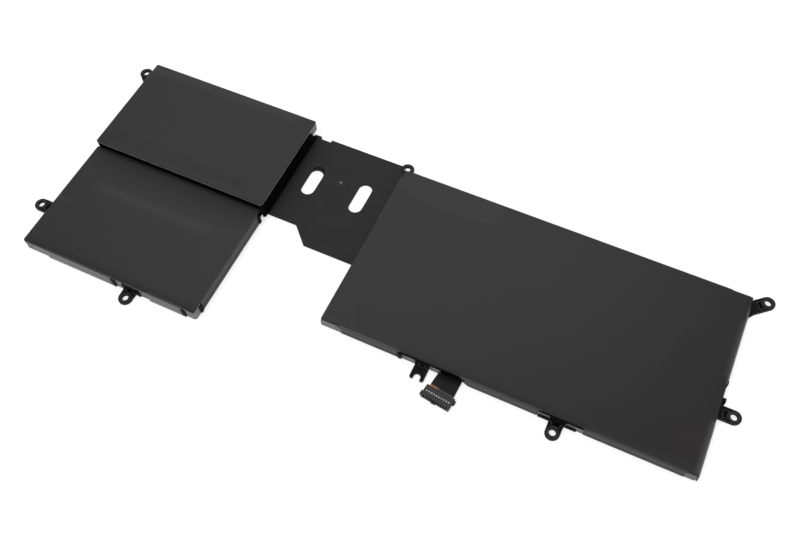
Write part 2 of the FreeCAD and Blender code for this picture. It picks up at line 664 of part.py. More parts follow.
def link_strip(cell):
    """A flat metal strip on the tray floor, under the feet of a cell's tabs."""
    middle = (cell[0] + cell[1]) / 2
    half = cell[7] / 2
    start = cell[3] + TERRACE
    return box(middle - half, middle + half, start, start + TAB_REACH + TAB_FOOT + FIT,
               FLOOR, FLOOR + STRIP_THICKNESS)


def terrace_tape(cell):
    """Amber insulating tape along the top of a cell's terrace."""
    x, y, z = terrace_root(*cell[:7])
    half = cell[7] / 2
    low = z + TERRACE_THICKNESS / 2
    return turned(box(-half, half, TERRACE / 3, TERRACE, low, low + FILM), x, y, cell[6])


def terrace_foam(cell):
    """Soft foam over a terrace, which carries the film across the bay."""
    x, y, z = terrace_root(*cell[:7])
    half = (cell[1] - cell[0]) / 2 - CELL_EDGE
    low = z + TERRACE_THICKNESS / 2 + FILM
    foam = box(-half, half, WALL, TERRACE_BAY - 2 * WALL, low, cell[5])
    return turned(foam, x, y, cell[6])


def bridge_ribbon():
    """The flat ribbon that lies in the bridge's channel, from the left bay to the cells' gap."""
    return box(LAP_X - STRAP / 2, CELL_2_X - FIT, RIBBON_Y - RIBBON_WIDTH / 2,
               RIBBON_Y + RIBBON_WIDTH / 2, FLOOR, FLOOR + RIBBON_THICKNESS)


def gap_ribbon():
    """The ribbon on edge between the first two right cells, forward to the board."""
    x1 = BOARD_X0
    return box(x1 - RIBBON_THICKNESS, x1, BOARD_Y0 + STRAP, RIBBON_Y, FLOOR + RIBBON_THICKNESS,
               RIGHT_HEIGHT - SKIN - LIP)


# Protection board and its parts
def board():
    """The narrow circuit board in the bay in front of the middle cell."""
    return box(BOARD_X0, BOARD_X1, BOARD_Y0, BOARD_Y1, BOARD_Z, BOARD_TOP)


def on_board(place, height):
    """A part soldered near the rear of the board: (start along the board, length, depth)."""
    start, length, depth = place
    y1 = BOARD_Y1 - REAR_MARGIN
    return box(BOARD_X0 + start, BOARD_X0 + start + length, y1 - depth, y1, BOARD_TOP,
               BOARD_TOP + height)


def chip_capacitors():
    """A row of small capacitors and resistors."""
    start, length, depth = CAPACITOR
    return group([on_board((start + index * CAPACITOR_PITCH, length, depth), LOW_CHIP_HEIGHT)
                  for index in range(CAPACITORS)])


def closing_strip():
    """The foil-faced strip on edge that closes the front of the board bay."""
    x0 = LEAD_X + lead_half_width(LEAD_PITCH) + WALL
    return box(x0, CELL_3_X - FIT, CELL_FRONT, CELL_FRONT + 2 * FILM, FLOOR,
               RIGHT_HEIGHT - SKIN - LIP)


# Wrapping films
def film_jacket(x0, x1, y0, y1, top, foot, gaps):
    """Film folded down over a block's sides, cut away at each gap: (side, from, to, up to)."""
    outer = soft_block(x0, x1, y0, y1, foot, top, CORNER_RADIUS, FOLD)
    inner = soft_block(x0 + FILM, x1 - FILM, y0 + FILM, y1 - FILM, foot - OVER, top - FILM,
                       CORNER_RADIUS - FILM, FOLD - FILM / 2)
    cutters = []
    for side, start, end, up_to in gaps:
        if side == "front":
            cutters.append(box(start, end, y0 - OVER, y0 + LIP, -OVER, up_to))
        elif side == "rear":
            cutters.append(box(start, end, y1 - LIP, y1 + OVER, -OVER, up_to))
        elif side == "left":
            cutters.append(box(x0 - OVER, x0 + LIP, start, end, -OVER, up_to))
        else:
            cutters.append(box(x1 - LIP, x1 + OVER, start, end, -OVER, up_to))
    return outer.cut(inner).cut(cutters)


def left_front_film():
    """Film over the low front cell, with flaps on three sides and open at the step."""
    top = LEFT_FRONT_HEIGHT
    fold = top - LIP
    half = HOOK_WIDTH / 2 + FIT
    ear = EAR_RADIUS + HOOK_WIDTH
    end = STEP_Y - FIT
    gaps = [("front", -OVER, FLAP_START, fold),
            ("front", front_hook_x() - half, EAR_FRONT_LEFT[0] + FLAP_AFTER_EAR, fold),
            ("front", LEFT_LENGTH - HOOK_FROM_END - half, LEFT_LENGTH + OVER, fold),
            ("right", -OVER, HOOK_FROM_FRONT + half, fold),
            ("right", CROSS_WALL_Y - HOOK_WIDTH - half, end + OVER, fold),
            ("left", -OVER, HOOK_FROM_FRONT + half, fold),
            ("left", EAR_LEFT[1] - ear, EAR_LEFT[1] + ear, fold),
            ("left", STEP_Y - HOOK_FROM_STEP - half, end + OVER, fold)]
    film = film_jacket(0, LEFT_LENGTH, 0, LEFT_DEPTH, top, FLAP_FOOT, gaps)
    return film.cut(box(-OVER, LEFT_LENGTH + OVER, end, LEFT_DEPTH + OVER, -OVER, top + OVER))


def left_rear_film():
    """Film over the raised cell, with flaps at the rear and the left only."""
    top = LEFT_REAR_HEIGHT
    fold = top - LIP
    low = STACK_UNDERSIDE + FLAP_FOOT
    gaps = [("front", -OVER, LEFT_LENGTH + OVER, fold),
            ("right", STEP_Y - OVER, LEFT_DEPTH + OVER, fold),
            ("left", STEP_Y - OVER, STEP_Y + HOOK_FROM_FRONT, fold),
            ("left", LEFT_DEPTH - SIDE_TAPE_END, LEFT_DEPTH + OVER, fold),
            ("rear", LEFT_LENGTH - SIDE_TAPE_END, LEFT_LENGTH + OVER, fold)]
    return film_jacket(0, LEFT_LENGTH, STEP_Y, LEFT_DEPTH, top, low, gaps)


def diagonal_root_y():
    """Where the front of the rear right ear's root crosses inside the right block's side."""
    lean = math.radians(DIAGONAL_ANGLE)
    run = EAR_REAR_RIGHT[0] - RIGHT_END + LIP
    return EAR_REAR_RIGHT[1] - run * math.tan(lean) - (EAR_RADIUS + EAR_FLARE) / math.cos(lean)


def right_film():
    """Film over the three right cells and the board bay, with a cut-out at each hook and ear."""
    top = RIGHT_HEIGHT
    fold = top - LIP
    half = HOOK_WIDTH / 2 + FIT
    over_bridge = BRIDGE_HEIGHT + FILM + FIT
    over_lead = LEAD_Z + WIRE_RADIUS + WIRE_CLEAR + TAPE + LEAD_FLAP_ROOM
    lead_end = LEAD_X + lead_half_width(LEAD_PITCH) + WALL
    ear_x, ear_y = EAR_FRONT_RIGHT[0], EAR_RIGHT[1]
    flap_x = LEAD_X - FLAP_OVER_LEAD
    gaps = [("front", RIGHT_X - OVER, RIGHT_X + RIGHT_FLAP_FROM_CORNER, fold),
            ("front", LEAD_X - HOOK_FROM_LEAD - half, flap_x, fold),
            ("front", flap_x, lead_end, over_lead),
            ("front", ear_x - FLAP_BEFORE_EAR, ear_x + FLAP_PAST_EAR, fold),
            ("front", RIGHT_END - FLAP_END_MARGIN, RIGHT_END + OVER, fold),
            ("right", ear_y - CUT_BEFORE_EAR, ear_y + CUT_PAST_EAR + half, fold),
            ("right", diagonal_root_y(), RIGHT_REAR + OVER, EAR_THICKNESS + FIT),
            ("right", RIGHT_REAR - REAR_CUT_MARGIN, RIGHT_REAR + OVER, fold),
            ("rear", RIGHT_END - REAR_FLAP_MARGIN, RIGHT_END + OVER, fold),
            ("rear", RIGHT_X - OVER, EAR_REAR_MIDDLE[0] + EAR_RADIUS + WALL, fold),
            ("left", BRIDGE_FRONT_Y - FIT, RIGHT_REAR + OVER, over_bridge),
            ("left", RIGHT_REAR - HOOK_FROM_FRONT, RIGHT_REAR + OVER, fold)]
    return film_jacket(RIGHT_X, RIGHT_END, RIGHT_SETBACK, RIGHT_REAR, top, FLAP_FOOT, gaps)


def bridge_film():
    """The cover film on the bridge, with its own slots and a small pip."""
    z0 = BRIDGE_HEIGHT
    z1 = z0 + FILM
    half = SLOT_LENGTH / 2
    film = outline_plate(bridge_outline(LEFT_LENGTH + FIT, RIGHT_X), z0, z1)
    film = film.cut([long_hole(x, SLOT_Y - half, SLOT_Y + half, SLOT_WIDTH, z0 - OVER, z1 + OVER)
                     for x in slot_places()])
    film = film.cut(post(*EAR_REAR_MIDDLE, z0 - OVER, z1 + OVER, EAR_RADIUS + FIT))
    pip = Part.makeCone(PIP_RADIUS, PIP_TOP_RADIUS, PIP_HEIGHT,
                        FreeCAD.Vector(LEFT_LENGTH + PIP_X, SLOT_Y + PIP_BEHIND_SLOT, z1))
    return join(film, pip)


def step_tape():
    """Black tape down the raised cell's front face, turned out over the front film."""
    y1 = STEP_Y + BLACK_TAPE
    face = box(TRAY_INSET, LEFT_LENGTH - TRAY_INSET, STEP_Y, y1, LEFT_FRONT_HEIGHT - LIP,
               LEFT_REAR_HEIGHT - LIP - FIT)
    lip = box(TRAY_INSET, LEFT_LENGTH - TRAY_INSET, STEP_Y - STEP_TAPE_LIP, y1, LEFT_FRONT_HEIGHT,
              LEFT_FRONT_HEIGHT + BLACK_TAPE)
    return join(face, lip)


def side_tape():
    """Black tape down the raised pair's right side, over the folded tabs."""
    x0 = LEFT_LENGTH - SKIN + TAB_THICKNESS + FIT
    return box(x0, x0 + BLACK_TAPE, STEP_Y, LEFT_DEPTH - SIDE_TAPE_END,
               BRIDGE_HEIGHT + FILM + FIT, LEFT_REAR_HEIGHT - LIP - FIT)


# The lead and its plug
def lead_half_width(pitch):
    """Half the width of the taped bundle at a given wire pitch."""
    return (WIRES - 1) / 2 * pitch + WIRE_RADIUS + WIRE_CLEAR + TAPE


def plug_point(across, back, height):
    """A point given along and behind the plug's rear face, carried to the pack."""
    point = FreeCAD.Vector(across, back, height)
    turn = FreeCAD.Rotation(FreeCAD.Vector(0, 0, 1), PLUG_TURN)
    return turn.multVec(point) + FreeCAD.Vector(PLUG_X, PLUG_REAR_Y, 0)


def wire_line(index):
    """Both ends of one level wire: under the board, and under its contact in the plug."""
    offset = index - (WIRES - 1) / 2
    start = FreeCAD.Vector(LEAD_X + offset * LEAD_PITCH, RIGHT_SETBACK + LEAD_BURIED, LEAD_Z)
    return start, plug_point(offset * CONTACT_PITCH, -CONTACT_ROW, LEAD_Z)


def wire(index):
    """One wire of the lead, straight from the board to the plug, with a twelve-sided section."""
    start, end = wire_line(index)
    run = end - start
    across = run.cross(FreeCAD.Vector(0, 0, 1)).normalize() * WIRE_RADIUS
    turn = FreeCAD.Rotation(run, 360 / WIRE_SIDES)
    corners = [across]
    for side in range(WIRE_SIDES - 1):
        corners.append(turn.multVec(corners[-1]))
    outline = Part.makePolygon([start + corner for corner in corners + corners[:1]])
    return Part.Face(outline).extrude(run)


def lead_section(share, reach):
    """The flat outline round all the wires at a share of their length."""
    ends = []
    for index in (0, WIRES - 1):
        start, end = wire_line(index)
        ends.append(start + (end - start) * share)
    along = (ends[1] - ends[0]).normalize()
    up = FreeCAD.Vector(0, 0, reach)
    low, high = ends[0] - along * reach, ends[1] + along * reach
    return Part.makePolygon([low - up, high - up, high + up, low + up, low - up])


def lead_tape():
    """The flat black sleeve of tape round the wires, from the board to just short of the plug."""
    start = wire_line(0)[0].y
    run = start - max(wire_line(index)[1].y for index in (0, WIRES - 1))
    first = (start - BOARD_Y0 + FIT) / run
    last = 1 - (CONTACT_ROW + TAPE_END_GAP) / run
    reach = WIRE_RADIUS + WIRE_CLEAR
    outer = Part.makeLoft([lead_section(share, reach + TAPE) for share in (first, last)], True, True)
    past = OVER / run
    inner = Part.makeLoft([lead_section(first - past, reach), lead_section(last + past, reach)],
                          True, True)
    return outer.cut(inner)


def plug_housing():
    """The plug's moulding: stepped back, key, side lugs, wire pocket, windows and open mouths."""
    half = PLUG_WIDTH / 2
    front = -PLUG_DEPTH
    body = box(-half, half, front, 0, 0, PLUG_HEIGHT)
    body = body.cut(box(-half - OVER, half + OVER, -PLUG_STEP_DEPTH, OVER, PLUG_HEIGHT - PLUG_STEP,
                        PLUG_HEIGHT + OVER))
    key = box(KEY_X - KEY_WIDTH / 2, KEY_X + KEY_WIDTH / 2, front - KEY_PROUD, front + LUG_ROOT,
              KEY_FOOT, KEY_TOP)
    left_lug = box(-half - LUG_PROUD, LUG_ROOT - half, front + PLUG_STEP,
                   front + PLUG_STEP + LUG_LENGTH, 0, LUG_HEIGHT)
    right_lug = box(half - LUG_ROOT, half + LUG_PROUD, -PLUG_STEP - LUG_LENGTH, -PLUG_STEP, 0,
                    LUG_HEIGHT)
    body = join(body, key, left_lug, right_lug)
    reach = WIRE_RADIUS + WIRE_CLEAR
    cuts = [box(PLUG_WALL - half, half - PLUG_WALL, -CONTACT_ROW - CONTACT_SIZE / 2, OVER,
                LEAD_Z - reach, LEAD_Z + reach)]
    for index in range(WIRES):
        x = (index - (WIRES - 1) / 2) * CONTACT_PITCH
        size = CONTACT_SIZE / 2
        cuts.append(box(x - size, x + size, -CONTACT_ROW - size, -CONTACT_ROW + size,
                        LEAD_Z + WIRE_RADIUS, PLUG_HEIGHT + OVER))
        cuts.append(box(x - MOUTH_WIDTH / 2, x + MOUTH_WIDTH / 2, front - OVER, front + MOUTH_DEPTH,
                        PLUG_HEIGHT - MOUTH_HEIGHT, PLUG_HEIGHT + OVER))
    return turned(body.cut(cuts), PLUG_X, PLUG_REAR_Y, PLUG_TURN)


def plug_contacts():
    """Ten contacts that show in the plug's windows."""
    contacts = []
    size = CONTACT_SIZE / 2 - FIT
    for index in range(WIRES):
        x = (index - (WIRES - 1) / 2) * CONTACT_PITCH
        contact = box(x - size, x + size, -CONTACT_ROW - size, -CONTACT_ROW + size,
                      LEAD_Z + WIRE_RADIUS, PLUG_HEIGHT - CONTACT_RECESS)
        contacts.append(turned(contact, PLUG_X, PLUG_REAR_Y, PLUG_TURN))
    return group(contacts)


# Every sub-part by its name
def cell_parts():
    """The cells with a terrace, and what belongs to each of them."""
    front, lower = front_cell(), lower_cell()
    first = right_cell(CELL_1_X, 0, 0)
    middle = right_cell(CELL_2_X, TERRACE_BAY, 180)
    last = right_cell(CELL_3_X, 0, 0)
    on_strip = FLOOR + STRIP_THICKNESS
    return {
        "cell_left_front": pouch_cell(front),
        "cell_left_lower": pouch_cell(lower),
        "cell_left_upper": upper_cell(),
        "cell_right_first": pouch_cell(first),
        "cell_right_middle": pouch_cell(middle),
        "cell_right_last": pouch_cell(last),
        "tabs_left_front": group(cell_tabs(front, on_strip)),
        "tabs_left_lower": group(cell_tabs(lower, BRIDGE_HEIGHT)),
        "tabs_left_upper": upper_tabs(),
        "tabs_right": group(cell_tabs(first, on_strip) + cell_tabs(last, on_strip)),
        "tabs_right_middle": group(cell_tabs(middle, BOARD_TOP)),
        "pads_left_front": group(floor_pads(front)),
        "pads_left_lower": group(floor_pads(lower)),
        "pads_right": group(floor_pads(first) + floor_pads(middle) + floor_pads(last)),
        "stack_pad": stack_pad(),
        "strip_left": link_strip(front),
        "strips_right": group([link_strip(first), link_strip(last)]),
        "tape_left_front": terrace_tape(front),
        "tape_left_lower": terrace_tape(lower),
        "tapes_right": group([terrace_tape(cell) for cell in (first, middle, last)]),
        "foam_left": terrace_foam(front),
        "foam_right": group([terrace_foam(cell) for cell in (first, middle, last)]),
    }


def other_parts():
    """The trays, ribbons, board, films, black tapes, lead and plug."""
    return {
        "tray_left": left_tray(),
        "tray_main": main_tray(),
        "ribbon_bridge": bridge_ribbon(),
        "ribbon_gap": gap_ribbon(),
        "board": board(),
        "board_chip": on_board(CHIP, CHIP_HEIGHT),
        "board_switches": group([on_board(place, CHIP_HEIGHT) for place in SWITCHES]),
        "board_shunt": on_board(SHUNT, LOW_CHIP_HEIGHT),
        "board_fuse": on_board(FUSE, CHIP_HEIGHT),
        "board_capacitors": chip_capacitors(),
        "bay_strip": closing_strip(),
        "film_left_front": left_front_film(),
        "film_left_rear": left_rear_film(),
        "film_right": right_film(),
        "film_bridge": bridge_film(),
        "tape_step": step_tape(),
        "tape_side": side_tape(),
        "lead_wires": group([wire(index) for index in range(WIRES)]),
        "lead_tape": lead_tape(),
        "plug_housing": plug_housing(),
        "plug_contacts": plug_contacts(),
    }


def footprint_middle(parts):
    """The middle of the whole pack's footprint."""
    bounds = [shape.optimalBoundingBox(False) for shape in parts.values()]
    x = (min(b.XMin for b in bounds) + max(b.XMax for b in bounds)) / 2
    y = (min(b.YMin for b in bounds) + max(b.YMax for b in bounds)) / 2
    return FreeCAD.Vector(x, y, 0)


def main():
    """Build, centre and write every sub-part."""
    os.makedirs("parts", exist_ok=True)
    parts = {**cell_parts(), **other_parts()}
    middle = footprint_middle(parts)
    for name, shape in parts.items():
        shape.translate(middle * -1)
        shape.exportStep("parts/" + name + ".step")
        print(name, len(shape.Solids), "solids,", round(shape.Volume, 2), "mm3, valid:",
              shape.isValid())


main()
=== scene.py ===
# %% [markdown]
# # A flat notebook battery pack
#
# The object is a pack that is screwed inside a notebook: two blocks of pouch cells in dark film,
# a low bridge between them, seven screw ears and a short flat lead. The hard moulded parts come
# finished from the CAD model. This lesson dresses them, makes the soft film and tape again as
# fine meshes, lights the pack and sets the camera.

# %% Load the measured model
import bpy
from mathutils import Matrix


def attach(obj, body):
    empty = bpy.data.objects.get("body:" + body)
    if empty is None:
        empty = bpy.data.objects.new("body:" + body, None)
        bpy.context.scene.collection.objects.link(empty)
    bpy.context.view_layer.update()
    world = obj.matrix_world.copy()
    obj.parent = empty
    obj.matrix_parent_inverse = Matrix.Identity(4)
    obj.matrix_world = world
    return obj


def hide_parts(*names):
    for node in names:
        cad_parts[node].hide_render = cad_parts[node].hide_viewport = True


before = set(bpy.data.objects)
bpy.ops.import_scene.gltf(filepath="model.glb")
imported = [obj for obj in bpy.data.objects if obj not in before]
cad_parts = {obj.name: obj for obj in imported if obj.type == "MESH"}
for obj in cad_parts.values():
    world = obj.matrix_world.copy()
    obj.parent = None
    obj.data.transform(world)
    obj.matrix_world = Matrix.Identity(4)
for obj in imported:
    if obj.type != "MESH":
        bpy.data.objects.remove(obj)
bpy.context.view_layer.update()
print("CAD nodes:", len(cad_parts))

# %% [markdown]
# ## Places in millimetres
#
# The pack was measured from the front left corner of its left block. One helper turns such a
# place into metres in the model's own frame, whose origin is the middle of the footprint. All
# the sizes below can then be read as they would be off a steel rule.

# %% Places and steps that every piece uses
import math

import bmesh
import bpy
from mathutils import Matrix, Vector, noise

MIDDLE_X, MIDDLE_Y = 163.85, 57.95


def place(x, y, z):
    return Vector(((x - MIDDLE_X) / 1000, (y - MIDDLE_Y) / 1000, z / 1000))


def smooth(value, start, end):
    """0 before start, 1 after end, and a soft slope between."""
    share = min(1.0, max(0.0, (value - start) / (end - start)))
    return share * share * (3 - 2 * share)


def within(value, start, end, soft):
    """1 between start and end, fading to 0 over the soft length outside."""
    return smooth(value, start - soft, start) * (1 - smooth(value, end, end + soft))


def ridge(value, middle, width):
    """1 at the middle, falling softly to 0 on both sides."""
    return math.exp(-((value - middle) / width) ** 2)


def spot(away_x, away_y, size):
    """1 at a point, falling softly to 0 all round it."""
    return math.exp(-(away_x ** 2 + away_y ** 2) / size)


def waves(a, b, c):
    """Smooth noise from -1 to 1; c tells one use of it from another."""
    return noise.noise(Vector((a, b, c)))


print("half the length:", round(place(2 * MIDDLE_X, 0, 0).x * 1000, 2), "mm")

# %% [markdown]
# ## A short hand for materials
#
# Every finish here is made of nodes. Writing each node out takes four lines, so two helpers
# make a node with its values and join it to the ones before it. A value may be a number, a
# colour or another node's output.

# %% Node helpers
def node(tree, kind, values=None, **settings):
    made = tree.nodes.new(kind)
    for name, value in settings.items():
        setattr(made, name, value)
    for name, value in (values or {}).items():
        socket = made.inputs[name]
        if isinstance(value, bpy.types.NodeSocket):
            tree.links.new(value, socket)
        else:
            socket.default_value = value
    return made


def new_group(name, inputs, outputs):
    """An empty group with named number inputs and outputs, and its two end nodes."""
    tree = bpy.data.node_groups.new(name, "ShaderNodeTree")
    for label, value in inputs:
        socket = tree.interface.new_socket(label, in_out="INPUT", socket_type="NodeSocketFloat")
        socket.default_value = value
    for label, kind in outputs:
        tree.interface.new_socket(label, in_out="OUTPUT", socket_type=kind)
    return tree, tree.nodes.new("NodeGroupInput"), tree.nodes.new("NodeGroupOutput")


def use_group(tree, group, values):
    made = tree.nodes.new("ShaderNodeGroup")
    made.node_tree = group
    for name, value in values.items():
        made.inputs[name].default_value = value
    return made


def new_material(name):
    made = bpy.data.materials.new(name)
    made.use_nodes = True
    made.node_tree.nodes.clear()
    return made, made.node_tree


def finish_material(tree, values):
    shader = node(tree, "ShaderNodeBsdfPrincipled", values)
    node(tree, "ShaderNodeOutputMaterial", {"Surface": shader.outputs[0]})
    return shader


def ranged(tree, value, low, high, start=0.0, end=1.0):
    """Stretches a value from start..end to low..high."""
    return node(tree, "ShaderNodeMapRange", {"Value": value, "From Min": start, "From Max": end,
                                             "To Min": low, "To Max": high}).outputs[0]


def grey(level, cool=0.0):
    """A grey colour with a little more blue, as most blacks and metals have."""
    return (level, level, level + cool, 1)


def mixed(tree, mask, first, second):
    return node(tree, "ShaderNodeMix", {0: mask, 6: first, 7: second}, data_type="RGBA").outputs[2]


def maths(tree, operation, first, second, **settings):
    made = node(tree, "ShaderNodeMath", {0: first, 1: second}, operation=operation, **settings)
    return made.outputs[0]


def multiplied(tree, first, second):
    return maths(tree, "MULTIPLY", first, second)


def added(tree, first, second):
    return maths(tree, "ADD", first, second)


def object_place(tree):
    """The place of each point in the object's own space, in metres."""
    return node(tree, "ShaderNodeTexCoord").outputs["Object"]


def distance_from(tree, middle):
    return node(tree, "ShaderNodeVectorMath", {0: object_place(tree), 1: middle},
                operation="DISTANCE").outputs["Value"]


def bumped(tree, height, strength, distance):
    return node(tree, "ShaderNodeBump",
                {"Height": height, "Strength": strength, "Distance": distance}).outputs[0]


print("helpers ready")

# %% [markdown]
# ## Grain
#
# Moulded plastic, film and tape all have a fine grain that breaks up their highlight. It could
# be a picture, but noise in the object's own space has no seams and no end. The group gives the
# grain as a height and as a mask, so a material can use it for its bump and for its roughness.

# %% The grain group
def make_grain():
    tree, start, end = new_group("grain", [("Scale", 3000.0), ("Detail", 3.0), ("Stretch", 1.0)],
                                 [("Height", "NodeSocketFloat"), ("Mask", "NodeSocketFloat")])
    stretch = node(tree, "ShaderNodeCombineXYZ", {"X": start.outputs["Stretch"], "Y": 1.0, "Z": 1.0})
    vector = node(tree, "ShaderNodeVectorMath", {0: object_place(tree), 1: stretch.outputs[0]},
                  operation="MULTIPLY")
    fine = node(tree, "ShaderNodeTexNoise", {
        "Vector": vector.outputs[0], "Scale": start.outputs["Scale"],
        "Detail": start.outputs["Detail"], "Roughness": 0.6})
    tree.links.new(fine.outputs[0], end.inputs["Height"])
    tree.links.new(ranged(tree, fine.outputs[0], 0.0, 1.0, 0.3, 0.7), end.inputs["Mask"])
    return tree


GRAIN = make_grain()
print("group:", GRAIN.name)

# %% [markdown]
# ## Soft unevenness
#
# Film laid over cells by hand is never quite flat or even. Large, weak noise gives the slow
# change of gloss and height that the eye reads as a real glued sheet.

# %% The unevenness group
def make_unevenness():
    tree, start, end = new_group("unevenness", [("Scale", 30.0), ("Contrast", 0.2)],
                                 [("Mask", "NodeSocketFloat")])
    slow = node(tree, "ShaderNodeTexNoise", {
        "Vector": object_place(tree), "Scale": start.outputs["Scale"],
        "Detail": 4.0, "Roughness": 0.55, "Distortion": 0.4})
    low = maths(tree, "SUBTRACT", 0.5, start.outputs["Contrast"])
    high = maths(tree, "ADD", 0.5, start.outputs["Contrast"])
    tree.links.new(ranged(tree, slow.outputs[0], 0.0, 1.0, low, high), end.inputs["Mask"])
    return tree


UNEVEN = make_unevenness()
print("group:", UNEVEN.name)

# %% [markdown]
# ## Dust
#
# A pack that was made and handled carries a few pale specks. The points in the middle of the
# cells of a Voronoi texture are scattered like that, and Amount says how far each speck reaches.

# %% The dust group
def make_dust():
    tree, start, end = new_group("dust", [("Scale", 400.0), ("Amount", 0.05)],
                                 [("Mask", "NodeSocketFloat")])
    specks = node(tree, "ShaderNodeTexVoronoi", {
        "Vector": object_place(tree), "Scale": start.outputs["Scale"], "Randomness": 1.0})
    dots = ranged(tree, specks.outputs["Distance"], 0.0, 1.0, start.outputs["Amount"], 0.0)
    tree.links.new(dots, end.inputs["Mask"])
    return tree


DUST = make_dust()
print("group:", DUST.name)

# %% [markdown]
# ## Edge wear and edge highlights
#
# Moulded edges are rubbed a little smoother and paler than the faces. Here the pale edges are partly
# wear and partly a painted highlight along the rims. A Bevel node rounds the normal near an edge
# only, so where it differs from the true normal there is an edge.

# %% The edge wear and highlight group
def make_edge_wear_and_highlight():
    tree, start, end = new_group("edge_wear_and_highlight", [("Radius", 0.0003), ("Strength", 6.0)],
                                 [("Mask", "NodeSocketFloat")])
    soft = node(tree, "ShaderNodeBevel", {"Radius": start.outputs["Radius"]}, samples=4)
    true = node(tree, "ShaderNodeNewGeometry")
    both = node(tree, "ShaderNodeVectorMath", {0: soft.outputs[0], 1: true.outputs["True Normal"]},
                operation="DOT_PRODUCT")
    away = maths(tree, "SUBTRACT", 1.0, both.outputs["Value"])
    tree.links.new(maths(tree, "MULTIPLY", away, start.outputs["Strength"], use_clamp=True),
                   end.inputs["Mask"])
    return tree


EDGE_WEAR_AND_HIGHLIGHT = make_edge_wear_and_highlight()
print("group:", EDGE_WEAR_AND_HIGHLIGHT.name)

# %% [markdown]
# ## Painted light on the upper faces
#
# The upper faces of the ears and the plug are painted grey as a painted highlight, while their walls
# and pockets stay black as painted shade. The mask is 1 on faces that look up between two heights.

# %% The upper face group
def make_lit_upper_faces():
    tree, start, end = new_group("lit_upper_faces", [("Low", 0.0), ("High", 1.0)],
                                 [("Mask", "NodeSocketFloat")])
    place_parts = node(tree, "ShaderNodeSeparateXYZ", {"Vector": object_place(tree)})
    true = node(tree, "ShaderNodeNewGeometry")
    way_parts = node(tree, "ShaderNodeSeparateXYZ", {"Vector": true.outputs["True Normal"]})
    over = maths(tree, "GREATER_THAN", place_parts.outputs["Z"], start.outputs["Low"])
    under = maths(tree, "LESS_THAN", place_parts.outputs["Z"], start.outputs["High"])
    upward = maths(tree, "GREATER_THAN", way_parts.outputs["Z"], 0.4)
    tree.links.new(multiplied(tree, multiplied(tree, over, under), upward), end.inputs["Mask"])
    return tree


LIT_UPPER_FACES = make_lit_upper_faces()
print("group:", LIT_UPPER_FACES.name)

# %% [markdown]
# ## The wrapping film
#
# The film is dark grey laminated plastic with a soft satin gloss. It is painted a little paler along
# its folds and hems, partly because folding stresses the plastic and partly as a painted highlight.
# The mesh carries three masks: fold for the folds and hems, a highlight mask for painted highlights
# and sheen, and dark for painted shade at cut edges, in front of the step and along a trough, and for
# a few dark spots. One corner has a faint brown cast, which is painted by its distance from a point.

# %% Film material
def make_film():
    made, tree = new_material("film")
    grain = use_group(tree, GRAIN, {"Scale": 2600.0, "Detail": 2.0})
    slow = use_group(tree, UNEVEN, {"Scale": 26.0, "Contrast": 0.2})
    dust = use_group(tree, DUST, {"Scale": 260.0, "Amount": 0.035})
    fold = node(tree, "ShaderNodeAttribute", attribute_name="fold")
    base = mixed(tree, slow.outputs["Mask"], grey(0.0100, 0.0004), grey(0.0135, 0.0005))
    # Folds and hems paler: partly stress whitening, partly painted highlight.
    base = mixed(tree, fold.outputs["Fac"], base, grey(0.034, 0.001))
    base = mixed(tree, multiplied(tree, dust.outputs["Mask"], 0.25), base, grey(0.25))
    brown = ranged(tree, distance_from(tree, place(322, 36, 5)), 0.6, 0.0, 0.004, 0.022)
    base = mixed(tree, brown, base, (0.0185, 0.0135, 0.0130, 1))
    # Painted highlights and sheen, from each sheet's painted light values.
    painted_highlight = node(tree, "ShaderNodeAttribute", attribute_name="painted_highlight")
    base = mixed(tree, painted_highlight.outputs["Fac"], base, grey(0.30, 0.005))
    # Painted shade: near black where the sheet lies in shade, and at a few dark spots.
    dark = node(tree, "ShaderNodeAttribute", attribute_name="dark")
    base = mixed(tree, dark.outputs["Fac"], base, grey(0.0005))
    rough = ranged(tree, slow.outputs["Mask"], 0.31, 0.37)
    rough = added(tree, rough, multiplied(tree, dark.outputs["Fac"], 0.6))
    rough = added(tree, rough, multiplied(tree, grain.outputs["Mask"], 0.05))
    height = added(tree, slow.outputs["Mask"], multiplied(tree, grain.outputs["Height"], 0.06))
    finish_material(tree, {"Base Color": base, "Roughness": rough, "IOR": 1.5,
                           "Normal": bumped(tree, height, 0.35, 0.00012)})
    return made


FILM = make_film()
print("material:", FILM.name)

# %% [markdown]
# ## Moulded plastic
#
# Both trays and the plug are black moulded plastic with a spark-eroded texture. A fine grain as
# bump gives the dull sparkle. The upper faces are painted paler than the walls and pockets as painted
# light and shade, and the thin pale lines along their edges, which draw the form, are partly wear and
# partly painted highlight.

